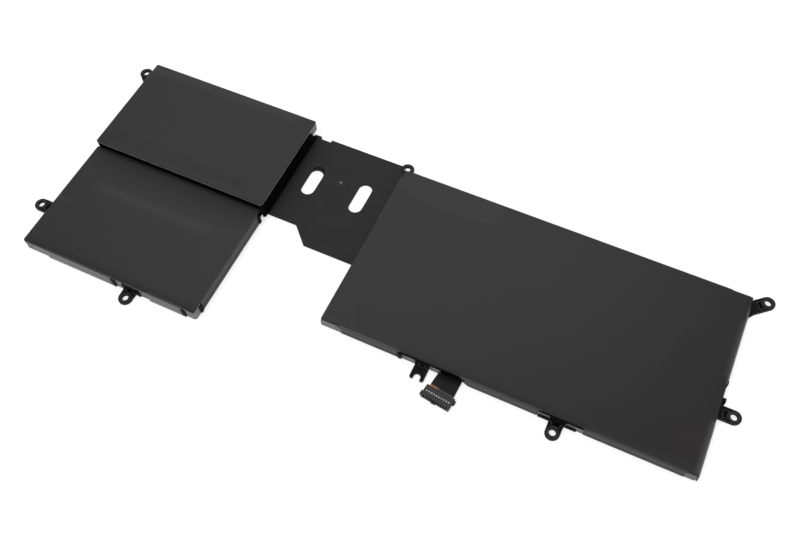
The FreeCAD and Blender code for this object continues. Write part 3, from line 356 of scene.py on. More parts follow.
# %% Tray and plug materials
def make_moulding(name, colour, worn_and_highlight, upper, heights, rough, grain_size, depth, gloss):
    made, tree = new_material(name)
    grain = use_group(tree, GRAIN, {"Scale": grain_size, "Detail": 4.0})
    wear = use_group(tree, EDGE_WEAR_AND_HIGHLIGHT, {"Radius": 0.0005, "Strength": 7.0})
    dust = use_group(tree, DUST, {"Scale": 700.0, "Amount": 0.05})
    faces = use_group(tree, LIT_UPPER_FACES, {"Low": heights[0] / 1000, "High": heights[1] / 1000})
    # Upper faces paler: painted highlight; walls and pockets stay dark as painted shade.
    base = mixed(tree, faces.outputs["Mask"], colour, upper)
    # Pale edges of the upper faces: partly wear, partly painted highlight.
    rubbed_and_lit_edges = multiplied(tree, multiplied(tree, wear.outputs["Mask"], faces.outputs["Mask"]), 0.9)
    base = mixed(tree, rubbed_and_lit_edges, base, worn_and_highlight)
    base = mixed(tree, multiplied(tree, grain.outputs["Mask"], 0.4), base, grey(0.002))
    base = mixed(tree, multiplied(tree, dust.outputs["Mask"], 0.2), base, grey(0.2))
    finish_material(tree, {"Base Color": base, "Specular IOR Level": gloss,
                           "Roughness": ranged(tree, grain.outputs["Mask"], rough, rough + 0.12),
                           "Normal": bumped(tree, grain.outputs["Height"], 0.5, depth)})
    return made


# Colours: walls and pockets, pale edges (wear and painted highlight), upper faces (painted highlight).
TRAY = make_moulding("tray_plastic", grey(0.0025, 0.0002), grey(0.22, 0.002),
                     grey(0.012, 0.0005), (1.1, 1.7), 0.5, 5200.0, 0.00006, 0.10)
PLUG = make_moulding("plug_plastic", grey(0.006, 0.0002), grey(0.11),
                     grey(0.046, 0.001), (1.75, 2.8), 0.38, 4200.0, 0.00004, 0.4)
print("materials:", TRAY.name, PLUG.name)

# %% [markdown]
# ## Pouch laminate
#
# The cells are sealed in aluminium laminate under a clear nylon skin, lightly embossed. It is a
# metal with a milky, uneven gloss. Small shallow dimples and a few soft wrinkles keep it from
# looking like polished sheet.

# %% Laminate and foil materials
def make_laminate(name, dark, light, rough):
    made, tree = new_material(name)
    dimples = node(tree, "ShaderNodeTexVoronoi", {"Vector": object_place(tree), "Scale": 1500.0},
                   feature="SMOOTH_F1")
    slow = use_group(tree, UNEVEN, {"Scale": 160.0, "Contrast": 0.22})
    grain = use_group(tree, GRAIN, {"Scale": 900.0, "Detail": 3.0})
    base = mixed(tree, slow.outputs["Mask"], dark, light)
    height = added(tree, multiplied(tree, dimples.outputs["Distance"], 0.5),
                   multiplied(tree, slow.outputs["Mask"], 2.0))
    finish_material(tree, {"Base Color": base, "Metallic": 0.75,
                           "Roughness": ranged(tree, grain.outputs["Mask"], rough, rough + 0.14),
                           "Normal": bumped(tree, height, 0.4, 0.00008)})
    return made


LAMINATE = make_laminate("pouch_laminate", grey(0.15, 0.004), grey(0.27, 0.005), 0.36)
FOIL = make_laminate("foil_card", grey(0.17), grey(0.29), 0.32)
print("materials:", LAMINATE.name, FOIL.name)

# %% [markdown]
# ## Tapes, wires, foam and glue
#
# These share one recipe: a base colour with a slow change, a grain and a gloss. Each place has
# its own values: black polyester tape is nearly without shine, amber tape is glossy, foam is
# coarse and dull.

# %% The other soft materials
def make_sheet_material(name, dark, light, rough, grain_size, depth, gloss):
    made, tree = new_material(name)
    slow = use_group(tree, UNEVEN, {"Scale": 120.0, "Contrast": 0.25})
    grain = use_group(tree, GRAIN, {"Scale": grain_size, "Detail": 3.0})
    base = mixed(tree, slow.outputs["Mask"], dark, light)
    height = added(tree, slow.outputs["Mask"], multiplied(tree, grain.outputs["Height"], 0.3))
    finish_material(tree, {"Base Color": base, "Specular IOR Level": gloss,
                           "Roughness": ranged(tree, grain.outputs["Mask"], rough, rough + 0.1),
                           "Normal": bumped(tree, height, 0.4, depth)})
    return made


# dark colour, light colour, roughness, grain size, depth of the bump in metres and gloss
SHEETS = {
    "black_tape": (grey(0.0008, 0.0001), grey(0.0020, 0.0001), 0.6, 3000.0, 0.00006, 0.04),
    "lead_tape": (grey(0.004, 0.0002), grey(0.008, 0.0004), 0.42, 2500.0, 0.00005, 0.3),
    "amber_tape": ((0.42, 0.16, 0.02, 1), (0.55, 0.24, 0.03, 1), 0.2, 1500.0, 0.00004, 0.5),
    "ribbon_film": ((0.3, 0.12, 0.02, 1), (0.4, 0.18, 0.03, 1), 0.25, 1500.0, 0.00003, 0.5),
    "wire_jacket": (grey(0.008), grey(0.013), 0.4, 2500.0, 0.00003, 0.4),
    "bay_foam": (grey(0.012), grey(0.03), 0.9, 2200.0, 0.0003, 0.2),
    "clear_adhesive": ((0.62, 0.62, 0.58, 1), (0.75, 0.75, 0.72, 1), 0.3, 900.0, 0.0001, 0.5),
    "board_mask": ((0.005, 0.04, 0.02, 1), (0.01, 0.06, 0.03, 1), 0.3, 1200.0, 0.00003, 0.5),
    "chip_body": (grey(0.012), grey(0.025), 0.5, 4000.0, 0.00002, 0.4),
    "ceramic": ((0.35, 0.27, 0.18, 1), (0.5, 0.4, 0.28, 1), 0.35, 2500.0, 0.00003, 0.5),
}
SOFT_KINDS = {name: make_sheet_material(name, *values) for name, values in SHEETS.items()}
BLACK_TAPE = SOFT_KINDS["black_tape"]
print("soft materials:", len(SOFT_KINDS))

# %% [markdown]
# The bridge's cover film is dull. The small pip on it carries a painted highlight: a pale glint at its
# tip in a faint halo. Both are painted by the distance from the pip's middle, and the grain breaks up
# the halo.

# %% Bridge film material
def make_bridge_film():
    made, tree = new_material("bridge_film")
    slow = use_group(tree, UNEVEN, {"Scale": 90.0, "Contrast": 0.25})
    grain = use_group(tree, GRAIN, {"Scale": 2600.0, "Detail": 3.0})
    away = distance_from(tree, PIP)
    # Painted highlight on the pip: a faint halo round it.
    glint_halo = multiplied(tree, grain.outputs["Mask"], ranged(tree, away, 0.5, 0.0, 0.0005, 0.0026))
    base = mixed(tree, slow.outputs["Mask"], grey(0.0175, 0.0004), grey(0.0230, 0.0005))
    base = mixed(tree, glint_halo, base, grey(0.10))
    # The pale glint at the pip's tip, a painted highlight.
    base = mixed(tree, ranged(tree, away, 1.0, 0.0, 0.0003, 0.0006), base, grey(0.40))
    height = added(tree, slow.outputs["Mask"], multiplied(tree, grain.outputs["Height"], 0.3))
    finish_material(tree, {"Base Color": base, "Specular IOR Level": 0.3,
                           "Roughness": ranged(tree, grain.outputs["Mask"], 0.5, 0.6),
                           "Normal": bumped(tree, height, 0.4, 0.00005)})
    return made


PIP = place(124.0, 97.6, 1.6)
BRIDGE_FILM = make_bridge_film()
print("material:", BRIDGE_FILM.name)

# %% [markdown]
# The jackets' colour changes from orange to grey along the plug. The material reads the place
# along the pack and turns it into a share between the two colours.

# %% Wire end material
def make_wire_ends():
    made, tree = new_material("wire_ends")
    parts = node(tree, "ShaderNodeSeparateXYZ", {"Vector": object_place(tree)})
    share = ranged(tree, parts.outputs["X"], 0.0, 1.0, place(213.0, 0, 0).x, place(215.5, 0, 0).x)
    grain = use_group(tree, GRAIN, {"Scale": 3500.0})
    base = mixed(tree, share, (0.78, 0.33, 0.20, 1), (0.10, 0.095, 0.090, 1))
    base = mixed(tree, multiplied(tree, grain.outputs["Mask"], 0.3), base, (0.02, 0.015, 0.012, 1))
    finish_material(tree, {"Base Color": base,
                           "Roughness": ranged(tree, grain.outputs["Mask"], 0.3, 0.42),
                           "Normal": bumped(tree, grain.outputs["Height"], 0.3, 0.00003)})
    return made


WIRE_END = make_wire_ends()
print("material:", WIRE_END.name)

# %% [markdown]
# ## Bare metal
#
# The tabs and link strips are rolled metal, so their grain runs one way. Stretching the noise
# along the sheet gives that. The plug's contacts are tin plated and made the same way.

# %% Metal materials
def make_metal(name, dark, light, rough):
    made, tree = new_material(name)
    rolled = use_group(tree, GRAIN, {"Scale": 2200.0, "Detail": 2.0, "Stretch": 0.08})
    slow = use_group(tree, UNEVEN, {"Scale": 300.0, "Contrast": 0.25})
    base = mixed(tree, slow.outputs["Mask"], dark, light)
    finish_material(tree, {"Base Color": base, "Metallic": 1.0,
                           "Roughness": ranged(tree, rolled.outputs["Mask"], rough, rough + 0.15),
                           "Normal": bumped(tree, rolled.outputs["Height"], 0.2, 0.00003)})
    return made


TAB_METAL = make_metal("tab_metal", (0.5, 0.48, 0.44, 1), (0.62, 0.6, 0.56, 1), 0.3)
CONTACT = make_metal("contact_metal", (0.70, 0.69, 0.66, 1), (0.86, 0.85, 0.82, 1), 0.22)
print("materials:", TAB_METAL.name, CONTACT.name)

# %% [markdown]
# ## Dress the CAD nodes
#
# The trays, cells, plug and inner pieces keep their measured shapes. Real mouldings have no
# knife edges, so each gets a small bevel that the light can catch. The bevel is a modifier, and
# the measured mesh below it stays as it is.

# %% Give each node its material and a soft edge
DRESS = {
    "tray": (TRAY, 0.12), "cell": (LAMINATE, 0.25), "tabs": (TAB_METAL, 0.03),
    "strip_": (TAB_METAL, 0.03), "strips": (TAB_METAL, 0.03), "film": (FILM, 0.06),
    "film_bridge": (BRIDGE_FILM, 0.08), "bay_strip": (FOIL, 0.04),
    "plug_housing": (PLUG, 0.08), "plug_contacts": (CONTACT, 0.04),
    "pads": (SOFT_KINDS["clear_adhesive"], 0.03), "stack": (SOFT_KINDS["clear_adhesive"], 0.03),
    "tape_left": (SOFT_KINDS["amber_tape"], 0.02), "tapes": (SOFT_KINDS["amber_tape"], 0.02),
    "tape_step": (BLACK_TAPE, 0.04), "tape_side": (BLACK_TAPE, 0.04),
    "foam": (SOFT_KINDS["bay_foam"], 0.2), "ribbon": (SOFT_KINDS["ribbon_film"], 0.1),
    "lead_tape": (SOFT_KINDS["lead_tape"], 0.06), "lead_wires": (SOFT_KINDS["wire_jacket"], 0.0),
    "board": (SOFT_KINDS["board_mask"], 0.05), "board_chip": (SOFT_KINDS["chip_body"], 0.08),
    "board_switches": (SOFT_KINDS["chip_body"], 0.08), "board_shunt": (SOFT_KINDS["ceramic"], 0.08),
    "board_fuse": (SOFT_KINDS["ceramic"], 0.08), "board_capacitors": (SOFT_KINDS["ceramic"], 0.05),
}


def soften(piece, width):
    """A small round on every sharp edge, in mm."""
    bevel = piece.modifiers.new("soft_edges", "BEVEL")
    bevel.width = width / 1000
    bevel.segments = 2
    bevel.limit_method = "ANGLE"
    bevel.angle_limit = math.radians(40)


def dress(piece, material):
    piece.data.materials.clear()
    piece.data.materials.append(material)


for name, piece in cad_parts.items():
    material, width = DRESS[max((start for start in DRESS if name.startswith(start)), key=len)]
    dress(piece, material)
    if width:
        soften(piece, width)
print("dressed:", len(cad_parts))

# %% [markdown]
# ## From points to a piece
#
# The soft pieces below are all built the same way: columns of points, faces between each column
# and the next, and then an object with a material. Thin sheets get their thickness from a
# modifier, so only one side has to be drawn.

# %% Skin and piece helpers
def skin(mesh, columns, closed=False):
    """Faces between each column of points and the next."""
    for index in range(len(columns) if closed else len(columns) - 1):
        first, second = columns[index], columns[(index + 1) % len(columns)]
        for row in range(len(first) - 1):
            mesh.faces.new([first[row], first[row + 1], second[row + 1], second[row]])


def to_piece(mesh, name, material, thickness=0.0):
    """An object made of the mesh; a thickness in mm makes a sheet of it."""
    data = bpy.data.meshes.new(name)
    mesh.normal_update()
    mesh.to_mesh(data)
    mesh.free()
    data.shade_smooth()
    piece = bpy.data.objects.new(name, data)
    bpy.context.scene.collection.objects.link(piece)
    if thickness:
        thick = piece.modifiers.new("thickness", "SOLIDIFY")
        thick.thickness = thickness / 1000
        thick.offset = -1
    dress(piece, material)
    return piece


print("skin and piece helpers ready")

# %% [markdown]
# ## How the film is folded
#
# Each film is one sheet that lies on the cells and turns down over their sides in a tight round
# fold. A bent box would do from afar, but the fold is what catches the light. So the top is a
# grid with close lines in the fold and at the corners. The flaps hang from its edge, cut where
# a hook, an ear or a bare place is. Last, the sheet gets its thickness.

# %% Lines of the grid
TIGHT = (0.65, 1.2)
SOFT = (1.15, 1.6)
FOLD_STEPS = 5
THICKNESS = 0.15


def grid_lines(start, end, step, wanted, open_end, fold=TIGHT):
    """Places of the grid lines along one way: close in the folds, even between them."""
    radius, corner = fold
    near = [radius * (1 - math.cos(math.pi / 2 * i / FOLD_STEPS)) for i in range(FOLD_STEPS + 1)]
    near += [radius + (corner - radius) * share for share in (0.35, 0.7, 1.0)]
    lines = [start + offset for offset in near]
    lines += [end - offset for offset in near] if not open_end else [end]
    low, high = start + corner + 0.2, (end - corner - 0.2 if not open_end else end - 0.2)
    kept = sorted({value for value in wanted if low < value < high})
    count = round((high - low) / step)
    for i in range(count + 1):
        value = low + (high - low) * i / count
        if all(abs(value - other) > 0.35 * step for other in kept):
            lines.append(value)
    return sorted(lines + kept)


print("lines over 20 mm:", len(grid_lines(0, 20, 1.5, [], False)))

# %% [markdown]
# The corner of the grid is turned into a round one. A square ring of grid lines becomes a
# quarter circle of the same reach, which keeps the faces even and the outline smooth.

# %% Turn a grid place into a place on the sheet
def on_sheet(x, y, box, top, open_rear, fold=TIGHT):
    """Place, outward way and distance from the outline of one grid point of a sheet."""
    x0, x1, y0, y1 = box
    radius, corner = fold
    into_x, into_y = min(x - x0, x1 - x), (y - y0 if open_rear else min(y - y0, y1 - y))
    side_x = -1 if x - x0 < x1 - x else 1
    side_y = -1 if open_rear or y - y0 < y1 - y else 1
    depth = min(into_x, into_y)
    way = (side_x, 0) if into_x < into_y else (0, side_y)
    if into_x < corner and into_y < corner:
        a, b = corner - into_x, corner - into_y
        ring = max(a, b)
        if a >= b:
            angle = math.pi / 4 * (b / a if a else 1)
        else:
            angle = math.pi / 2 - math.pi / 4 * a / b
        x = (x0 + corner if side_x < 0 else x1 - corner) + side_x * ring * math.cos(angle)
        y = (y0 + corner if side_y < 0 else y1 - corner) + side_y * ring * math.sin(angle)
        depth = corner - ring
        way = (side_x * math.cos(angle), side_y * math.sin(angle))
    drop = 0.0
    if depth < radius:
        drop = radius - math.sqrt(max(0.0, radius ** 2 - (radius - depth) ** 2))
    return x, y, top - drop, way, depth


print("edge of a sheet drops", round(10 - on_sheet(0, 30, (0, 60, 0, 60), 10, False)[2], 2), "mm")

# %% [markdown]
# A flap hangs from each side, apart from the gaps that are cut for hooks, ears and bare corners.
# Two questions have to be answered at each place of the outline: which side it belongs to, and
# how far down the flap reaches there.

# %% Where a flap hangs
def near_side(x, y, box, open_rear):
    """The side of the sheet that a place is nearest to."""
    reach = {"left": x - box[0], "right": box[1] - x, "front": y - box[2]}
    if not open_rear:
        reach["rear"] = box[3] - y
    return min(reach, key=reach.get)


def hem_height(side, x, y, gaps, foot):
    """How far down the flap reaches at one place of a side; None where there is none."""
    height = foot
    along = x if side in ("front", "rear") else y
    for gap_side, start, end, up_to in gaps:
        if gap_side == side and start < along < end:
            if up_to is None:
                return None
            if isinstance(up_to, tuple):
                share = (along - start) / (end - start)
                up_to = up_to[0] + (up_to[1] - up_to[0]) * share
            height = max(height, up_to)
    return height


print("hem of a plain side:", hem_height("front", 5, 0, [], 0.3), "mm")

# %% [markdown]
# A glued flap leans in a little below the fold and stands off again at its hem, and no two
# stretches of it are quite the same. Neighbouring quads share their columns of points, so the
# sheet stays whole when it gets its thickness.

# %% Hang the flaps
FLAP_ROWS = 8


def hang_flaps(mesh, layers, grid, side, run, xs, ys, heights, gaps, flap_light_and_shade, proud, seed):
    """The flap leans in a little below the fold and stands off again at its hem."""
    high, foot = heights
    made = {}
    for (i, j), (k, m) in zip(run, run[1:]):
        middle_x, middle_y = (xs[i] + xs[k]) / 2, (ys[j] + ys[m]) / 2
        if hem_height(side, middle_x, middle_y, gaps, foot) is None:
            made = {}
            continue
        columns = []
        for a, b in ((i, j), (k, m)):
            if (a, b) in made:
                columns.append(made[a, b])
                continue
            vert, way, (px, py) = grid[a][b]
            near_x, near_y = px * 0.98 + middle_x * 0.02, py * 0.98 + middle_y * 0.02
            height = hem_height(side, near_x, near_y, gaps, foot) or foot
            height += 0.1 * waves(px * 0.35, py * 0.35, seed)
            column = [vert]
            for row in range(1, FLAP_ROWS + 1):
                share = row / FLAP_ROWS
                z = high * (1 - share) + height * share
                wave = waves(px * 0.12, py * 0.12, seed + 3)
                bow = 0.17 * smooth(share, 0.45, 1.0) - 0.06 * math.sin(math.pi * min(1.0, share * 1.6))
                bow += proud.get(side, 0.0) * smooth(share, 0.0, 0.3)
                bow += 0.06 * math.sin(math.pi * share) * wave
                hung = mesh.verts.new(place(px + way[0] * bow, py + way[1] * bow, z))
                # Fold mask paler near the fold and at the hem, partly as painted highlight; the next
                # mask takes the flap's painted highlight.
                hung[layers[0]] = 0.2 * (1 - share) + (0.5 if row == FLAP_ROWS else 0.0)
                hung[layers[1]] = flap_light_and_shade(side, share)
                column.append(hung)
            made[a, b] = column
            columns.append(column)
        skin(mesh, columns)


def plain_flap(side, share):
    return 0.0


print("rows in a flap:", FLAP_ROWS)

# %% [markdown]
# The whole sheet is a grid with flaps on its outline. At a bare place the edge hardly drops and is
# cut back a little, and its cut edge is painted dark as painted shade for the gap under it. Each point
# also carries the three masks that the film's material reads: the folds, painted light and painted
# shade.

# %% Build one folded film
def folded_film(name, box, top, foot, gaps, lift, light_and_shade, flap_light_and_shade, proud, seed, step=1.5,
                open_rear=False, fold=TIGHT, rear_trim=0.3):
    """gaps: (side, from, to, hem height); a hem at None means that no flap hangs there."""
    x0, x1, y0, y1 = box
    along_x = [end for gap in gaps if gap[0] in ("front", "rear") for end in gap[1:3]]
    along_y = [end for gap in gaps if gap[0] in ("left", "right") for end in gap[1:3]]
    xs = grid_lines(x0, x1, step, along_x, False, fold)
    ys = grid_lines(y0, y1, step, along_y, open_rear, fold)
    mesh = bmesh.new()
    layers = [mesh.verts.layers.float.new(label) for label in ("fold", "painted_highlight", "dark")]
    grid = []
    for x in xs:
        column = []
        for y in ys:
            px, py, pz, way, depth = on_sheet(x, y, box, top, open_rear, fold)
            shade = light_and_shade(px, py)
            side = near_side(px, py, box, open_rear)
            bare = depth < 1.6 and hem_height(side, px, py, gaps, foot) is None
            if bare:
                pz = top - 0.2 * (top - pz)
                trim = (rear_trim if side == "rear" else 0.3) * (1 - smooth(depth, 0, 1.5))
                px, py = px - way[0] * trim, py - way[1] * trim
            vert = mesh.verts.new(place(px, py, pz + lift(px, py) * smooth(depth, 0, 3)))
            # Masks: fold; painted highlight from the positive light-and-shade values; painted shade from
            # the negative ones and at bare cut edges.
            vert[layers[0]] = 0.0 if bare else 1 - smooth(depth, 0.25, 1.4)
            vert[layers[1]] = max(0.0, shade)
            vert[layers[2]] = max(0.0, -shade, (1 - smooth(depth, 0.2, 0.5)) if bare else 0.0)
            column.append((vert, way, (px, py)))
        grid.append(column)
    for i in range(len(xs) - 1):
        for j in range(len(ys) - 1):
            mesh.faces.new([grid[i][j][0], grid[i + 1][j][0], grid[i + 1][j + 1][0], grid[i][j + 1][0]])
    last_x, last_y = len(xs) - 1, len(ys) - 1
    edges = {"front": [(i, 0) for i in range(last_x + 1)],
             "right": [(last_x, j) for j in range(last_y + 1)],
             "left": [(0, j) for j in range(last_y, -1, -1)]}
    if not open_rear:
        edges["rear"] = [(i, last_y) for i in range(last_x, -1, -1)]
    for side, run in edges.items():
        hang_flaps(mesh, layers, grid, side, run, xs, ys, (top - fold[0], foot), gaps, flap_light_and_shade,
                   proud, seed)
    return to_piece(mesh, name, FILM, THICKNESS)


print("film tools ready: sheet", THICKNESS, "mm thick")

# %% [markdown]
# ## The left block's films
#
# The low front sheet dips a little where its cell ends and the foam under it begins, and it
# stays open at the step. Its flaps leave the corners, the hooks and the front ear bare.

# %% Left front film
def left_front_lift(x, y):
    across = within(x, 18, 80, 9)
    body = 0.24 * (1 - smooth(y, 39.0, 45.5) * across)
    foot = 0.20 * smooth(y, 50, 62) * across
    crease = -0.05 * ridge(y, 28.5, 0.35) * (1 - smooth(x, 7, 11))
    return body + foot + crease + 0.03 * waves(x * 0.05, y * 0.05, 1.0)


# Painted light and shade: a pale band of sheen across the middle, a highlight on the crease, a glint on
# the lip at the step, and painted shade in front of the step.
def left_front_light_and_shade(x, y):
    band = 0.045 * ridge(y, 42.0, 3.0) * within(x, 22, 76, 12)
    crease = 0.05 * ridge(y, 28.7, 0.6) * (1 - smooth(x, 8, 11))
    shade = 0.30 * smooth(y, 46, 62.3) * within(x, 2, 96, 3)
    lip = 0.12 * smooth(y, 62.6, 62.9) * within(x, 60, 90, 8)
    return band + crease + lip - shade


def left_front_flap_highlight(side, share):
    """A painted highlight along the front flap's fold, and the flap paler towards its hem."""
    if side != "front":
        return 0.0
    return 0.85 if share < 0.15 else 0.2 + 0.55 * share ** 1.5


LEFT_FRONT_GAPS = [
    ("front", -1, 14.0, None), ("front", 51.45, 72.3, None), ("front", 90.55, 99, None),
    ("right", -1, 6.45, None), ("right", 59.2, 64, None),
    ("left", -1, 6.45, None), ("left", 18.3, 28.7, None), ("left", 51.45, 64, None),
]
LEFT_FRONT_BOX, LEFT_FRONT_TOP, LOW_FOOT = (0, 97.8, 0, 63.35), 6.8, 0.3
left_front = folded_film("film_left_front_sheet", LEFT_FRONT_BOX, LEFT_FRONT_TOP, LOW_FOOT,
                         LEFT_FRONT_GAPS, left_front_lift, left_front_light_and_shade, left_front_flap_highlight,
                         {"front": 0.3, "left": 0.15}, 1.5, open_rear=True)
print("faces:", len(left_front.data.polygons))

# %% [markdown]
# The raised sheet falls away over the last few millimetres at the rear, where the cell below it
# gets thinner. Near its front it dips over a seam in a shallow trough with a dark spot at each end.

# %% Left rear film
RAISED_RIGHT = 98.5


def left_rear_lift(x, y):
    fall = -0.34 * smooth(y, 115.0, 121.0) * within(x, -2, 86, 7)
    trough = -0.07 * ridge(y, 70.5, 2.4) * within(x, 4, 80, 4)
    spots = -0.09 * sum(spot(x - cx, y - 70.5, 3.0) for cx in (10, 80))
    return fall + trough + spots - 0.03 + 0.025 * waves(x * 0.05, y * 0.05, 4.0)


# Painted light and shade: a pale strip of sheen where the sheet falls away at the rear, painted shade
# along the trough, and two dark spots at its ends.
def left_rear_light_and_shade(x, y):
    strip = 0.045 * smooth(y, 114.6, 117.5) * within(x, 1, 84, 8)
    spots = 0.35 * sum(spot(x - cx, (y - 70.5) * 1.6, 4.0) for cx in (10, 80))
    shade = 0.10 * ridge(y, 70.5, 2.6) * within(x, 4, 84, 4)
    return strip - spots - shade


LEFT_REAR_GAPS = [
    ("front", -1, 99, None), ("right", 62, 123, None), ("left", 62, 68.9, None),
    ("left", 114.7, 123, None), ("rear", 90.6, 99, None),
]
LEFT_REAR_BOX, LEFT_REAR_TOP, RAISED_FOOT = (0, RAISED_RIGHT, 63.4, 121.9), 10.6, 4.9
left_rear = folded_film("film_left_rear_sheet", LEFT_REAR_BOX, LEFT_REAR_TOP, RAISED_FOOT,
                        LEFT_REAR_GAPS, left_rear_lift, left_rear_light_and_shade, plain_flap,
                        {"rear": 0.15, "left": 0.15}, 7.5)
print("faces:", len(left_rear.data.polygons))

# %% [markdown]
# The pouch under that sheet is two soft faces and a side between them, with a faint seam half way
# up. Its upper face falls with the film, and its lower face keeps the small dents of the foil.

# %% The upper cell's pouch
def pouch(name, box, top, bottom, lift, seed):
    """A closed pouch: two soft faces and a side between them with a faint seam."""
    x0, x1, y0, y1 = box
    xs, ys = grid_lines(x0, x1, 2.5, [], False), grid_lines(y0, y1, 2.5, [], False)
    mesh = bmesh.new()
    faces_up, faces_down, ways = [], [], []
    for x in xs:
        up_column, down_column, way_column = [], [], []
        for y in ys:
            px, py, pz, way, depth = on_sheet(x, y, box, top, False)
            soft = smooth(depth, 0, 3)
            up_column.append(mesh.verts.new(place(px, py, pz + lift(px, py) * soft)))
            dent = 0.03 * soft * waves(px * 0.1, py * 0.1, seed)
            down_column.append(mesh.verts.new(place(px, py, bottom + top - pz + dent)))
            way_column.append((px, py, way))
        faces_up.append(up_column)
        faces_down.append(down_column)
        ways.append(way_column)
    for i in range(len(xs) - 1):
        for j in range(len(ys) - 1):
            corners = ((i, j), (i + 1, j), (i + 1, j + 1), (i, j + 1))
            mesh.faces.new([faces_up[a][b] for a, b in corners])
            mesh.faces.new([faces_down[a][b] for a, b in reversed(corners)])
    last_x, last_y = len(xs) - 1, len(ys) - 1
    loop = [(i, 0) for i in range(last_x)] + [(last_x, j) for j in range(last_y)]
    loop += [(i, last_y) for i in range(last_x, 0, -1)] + [(0, j) for j in range(last_y, 0, -1)]
    low, high = bottom + TIGHT[0], top - TIGHT[0]
    columns = []
    for i, j in loop:
        px, py, way = ways[i][j]
        column = [faces_up[i][j]]
        for share in (0.3, 0.42, 0.5, 0.58, 0.7):
            z = high + (low - high) * share
            seam = 0.07 * ridge(share, 0.5, 0.06)
            seam += 0.05 * waves(px * 0.4, py * 0.4, z + seed)
            column.append(mesh.verts.new(place(px + way[0] * seam, py + way[1] * seam, z)))
        column.append(faces_down[i][j])
        columns.append(column)
    skin(mesh, columns, closed=True)
    return to_piece(mesh, name, LAMINATE)


POUCH_BOX, POUCH_TOP, POUCH_BOTTOM = (0.2, RAISED_RIGHT - 0.25, 63.65, 121.7), 10.4, 4.6
upper_cell = pouch("cell_left_upper_pouch", POUCH_BOX, POUCH_TOP, POUCH_BOTTOM,
                   lambda x, y: left_rear_lift(x, y) - 0.04, 2.0)
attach(upper_cell, "root")
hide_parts("cell_left_upper")
print("upper cell faces:", len(upper_cell.data.polygons))

# %% [markdown]
# ## The right block's film
#
# The large sheet shows one crease near its rear left corner, where the first cell ends and the
# film bridges its bay. Elsewhere it is flat, with the slow unevenness of glued film. Its front
# flap leaves two windows and the lead's mouth bare, and slopes down again at the mouth's right end.

# %% Right film
def crease_line(x):
    """Distance by which the crease bows forward of a straight line."""
    return 0.9 * math.sin(math.pi * min(1.0, max(0.0, (x - 158) / 48)))


def right_lift(x, y):
    bay = within(x, 159, 199, 7)
    bow = 103.7 - crease_line(x)
    body = 0.13 * (1 - smooth(y, bow - 0.5, bow + 0.5) * bay) + 0.07 * smooth(y, 105, 113) * bay
    dent = -0.08 * spot(x - 168, y - 34, 2.5)
    seams = -0.02 * sum(ridge(x, cx, 1.2) for cx in (211.3, 270.5))
    return body + dent + seams + 0.035 * waves(x * 0.035, y * 0.05, 9.0)


# Painted light and shade: pale sheen strips near the rear left, along the front and at the right edge, a
# highlight on the crease, and a dark spot at the dent.
def right_light_and_shade(x, y):
    strip = 0.022 * smooth(y, 104, 106) * within(x, 154, 204, 5)
    bow = 103.9 - crease_line(x)
    crease = 0.08 * ridge(y, bow, 0.7) * within(x, 161, 202, 4)
    dent = 0.16 * spot(x - 168, y - 34, 5.0)
    spread = 26.2 + 2.0 * smooth(x, 288, 325)
    front = 0.035 * (1 - smooth(y, 23.8, spread)) * (within(x, 154, 190, 2) + within(x, 282, 327, 3))
    edge = 0.11 * smooth(x, 325.8, 328.2) * (within(y, 72, 101, 2) + 1.4 * within(y, 24, 48, 2))
    return strip + crease + front + edge - dent


# Painted highlight near the hems of the flaps.
def right_flap_highlight(side, share):
    return 0.05 * smooth(share, 0.6, 1.0)


RIGHT_GAPS = [
    ("front", 150, 162.4, None), ("front", 191.35, 222.6, None), ("front", 222.6, 225.6, (3.4, 0.3)),
    ("front", 258.4, 279.4, None), ("front", 323.8, 331, None),
    ("right", 48.0, 68.8, None), ("right", 102.5, 108, 1.3), ("right", 108.0, 117, None),
    ("rear", 318.8, 331, None), ("rear", 150, 155.8, None),
    ("left", 56.9, 117, 1.45), ("left", 110.5, 117, None),
]
RIGHT_BOX, RIGHT_TOP = (151.6, 329.3, 22.3, 116.3), 5.65
right_film = folded_film("film_right_sheet", RIGHT_BOX, RIGHT_TOP, LOW_FOOT, RIGHT_GAPS,
                         right_lift, right_light_and_shade, right_flap_highlight, {"right": 0.35, "rear": 0.15}, 3.5,
                         fold=SOFT, rear_trim=0.7)
print("faces:", len(right_film.data.polygons))

# %% [markdown]
# ## Tape down the raised block's side
#
# Black tape runs down the raised block's right side to the bridge and closes the corner at the
# step. It hangs nearly straight and its foot stands out over the bridge's cover. Slow noise gives
# it the soft dents of the thumb that pressed it down.

# %% Side tape
TAPE_END = 118.4
TAPE_ROWS = 8


def tape_path():
    """Places round the corner and along the side, with the outward way at each."""
    path = [(95.5 + 0.9 * i, 63.28, (0.0, -1.0)) for i in range(3)]
    for i in range(6):
        angle = math.radians(-90 + 18 * i)
        way = (math.cos(angle), math.sin(angle))
        path.append((97.6 + way[0], 64.28 + way[1], way))
    count = 30
    path += [(98.6, 65.0 + (TAPE_END - 65.0) * i / count, (1.0, 0.0)) for i in range(count + 1)]
    return path


def build_side_tape():
    mesh = bmesh.new()
    columns = []
    for x, y, way in tape_path():
        column = []
        foot = 6.9 if way[0] < 0.3 else 1.45
        for row in range(TAPE_ROWS + 1):
            share = row / TAPE_ROWS
            head = 10.0 - 5.5 * smooth(y, 114.3, 116.2)
            z = head * (1 - share) + foot * share
            out = 0.75 * smooth(share, 0.55, 1.0) * max(0.0, way[0])
            out += 0.05 * math.sin(math.pi * share) * waves(x * 0.3, y * 0.3, 5.0)
            column.append(mesh.verts.new(place(x + way[0] * out, y + way[1] * out, z)))
        columns.append(column)
    skin(mesh, columns)
    return to_piece(mesh, "side_tape", BLACK_TAPE, 0.1)


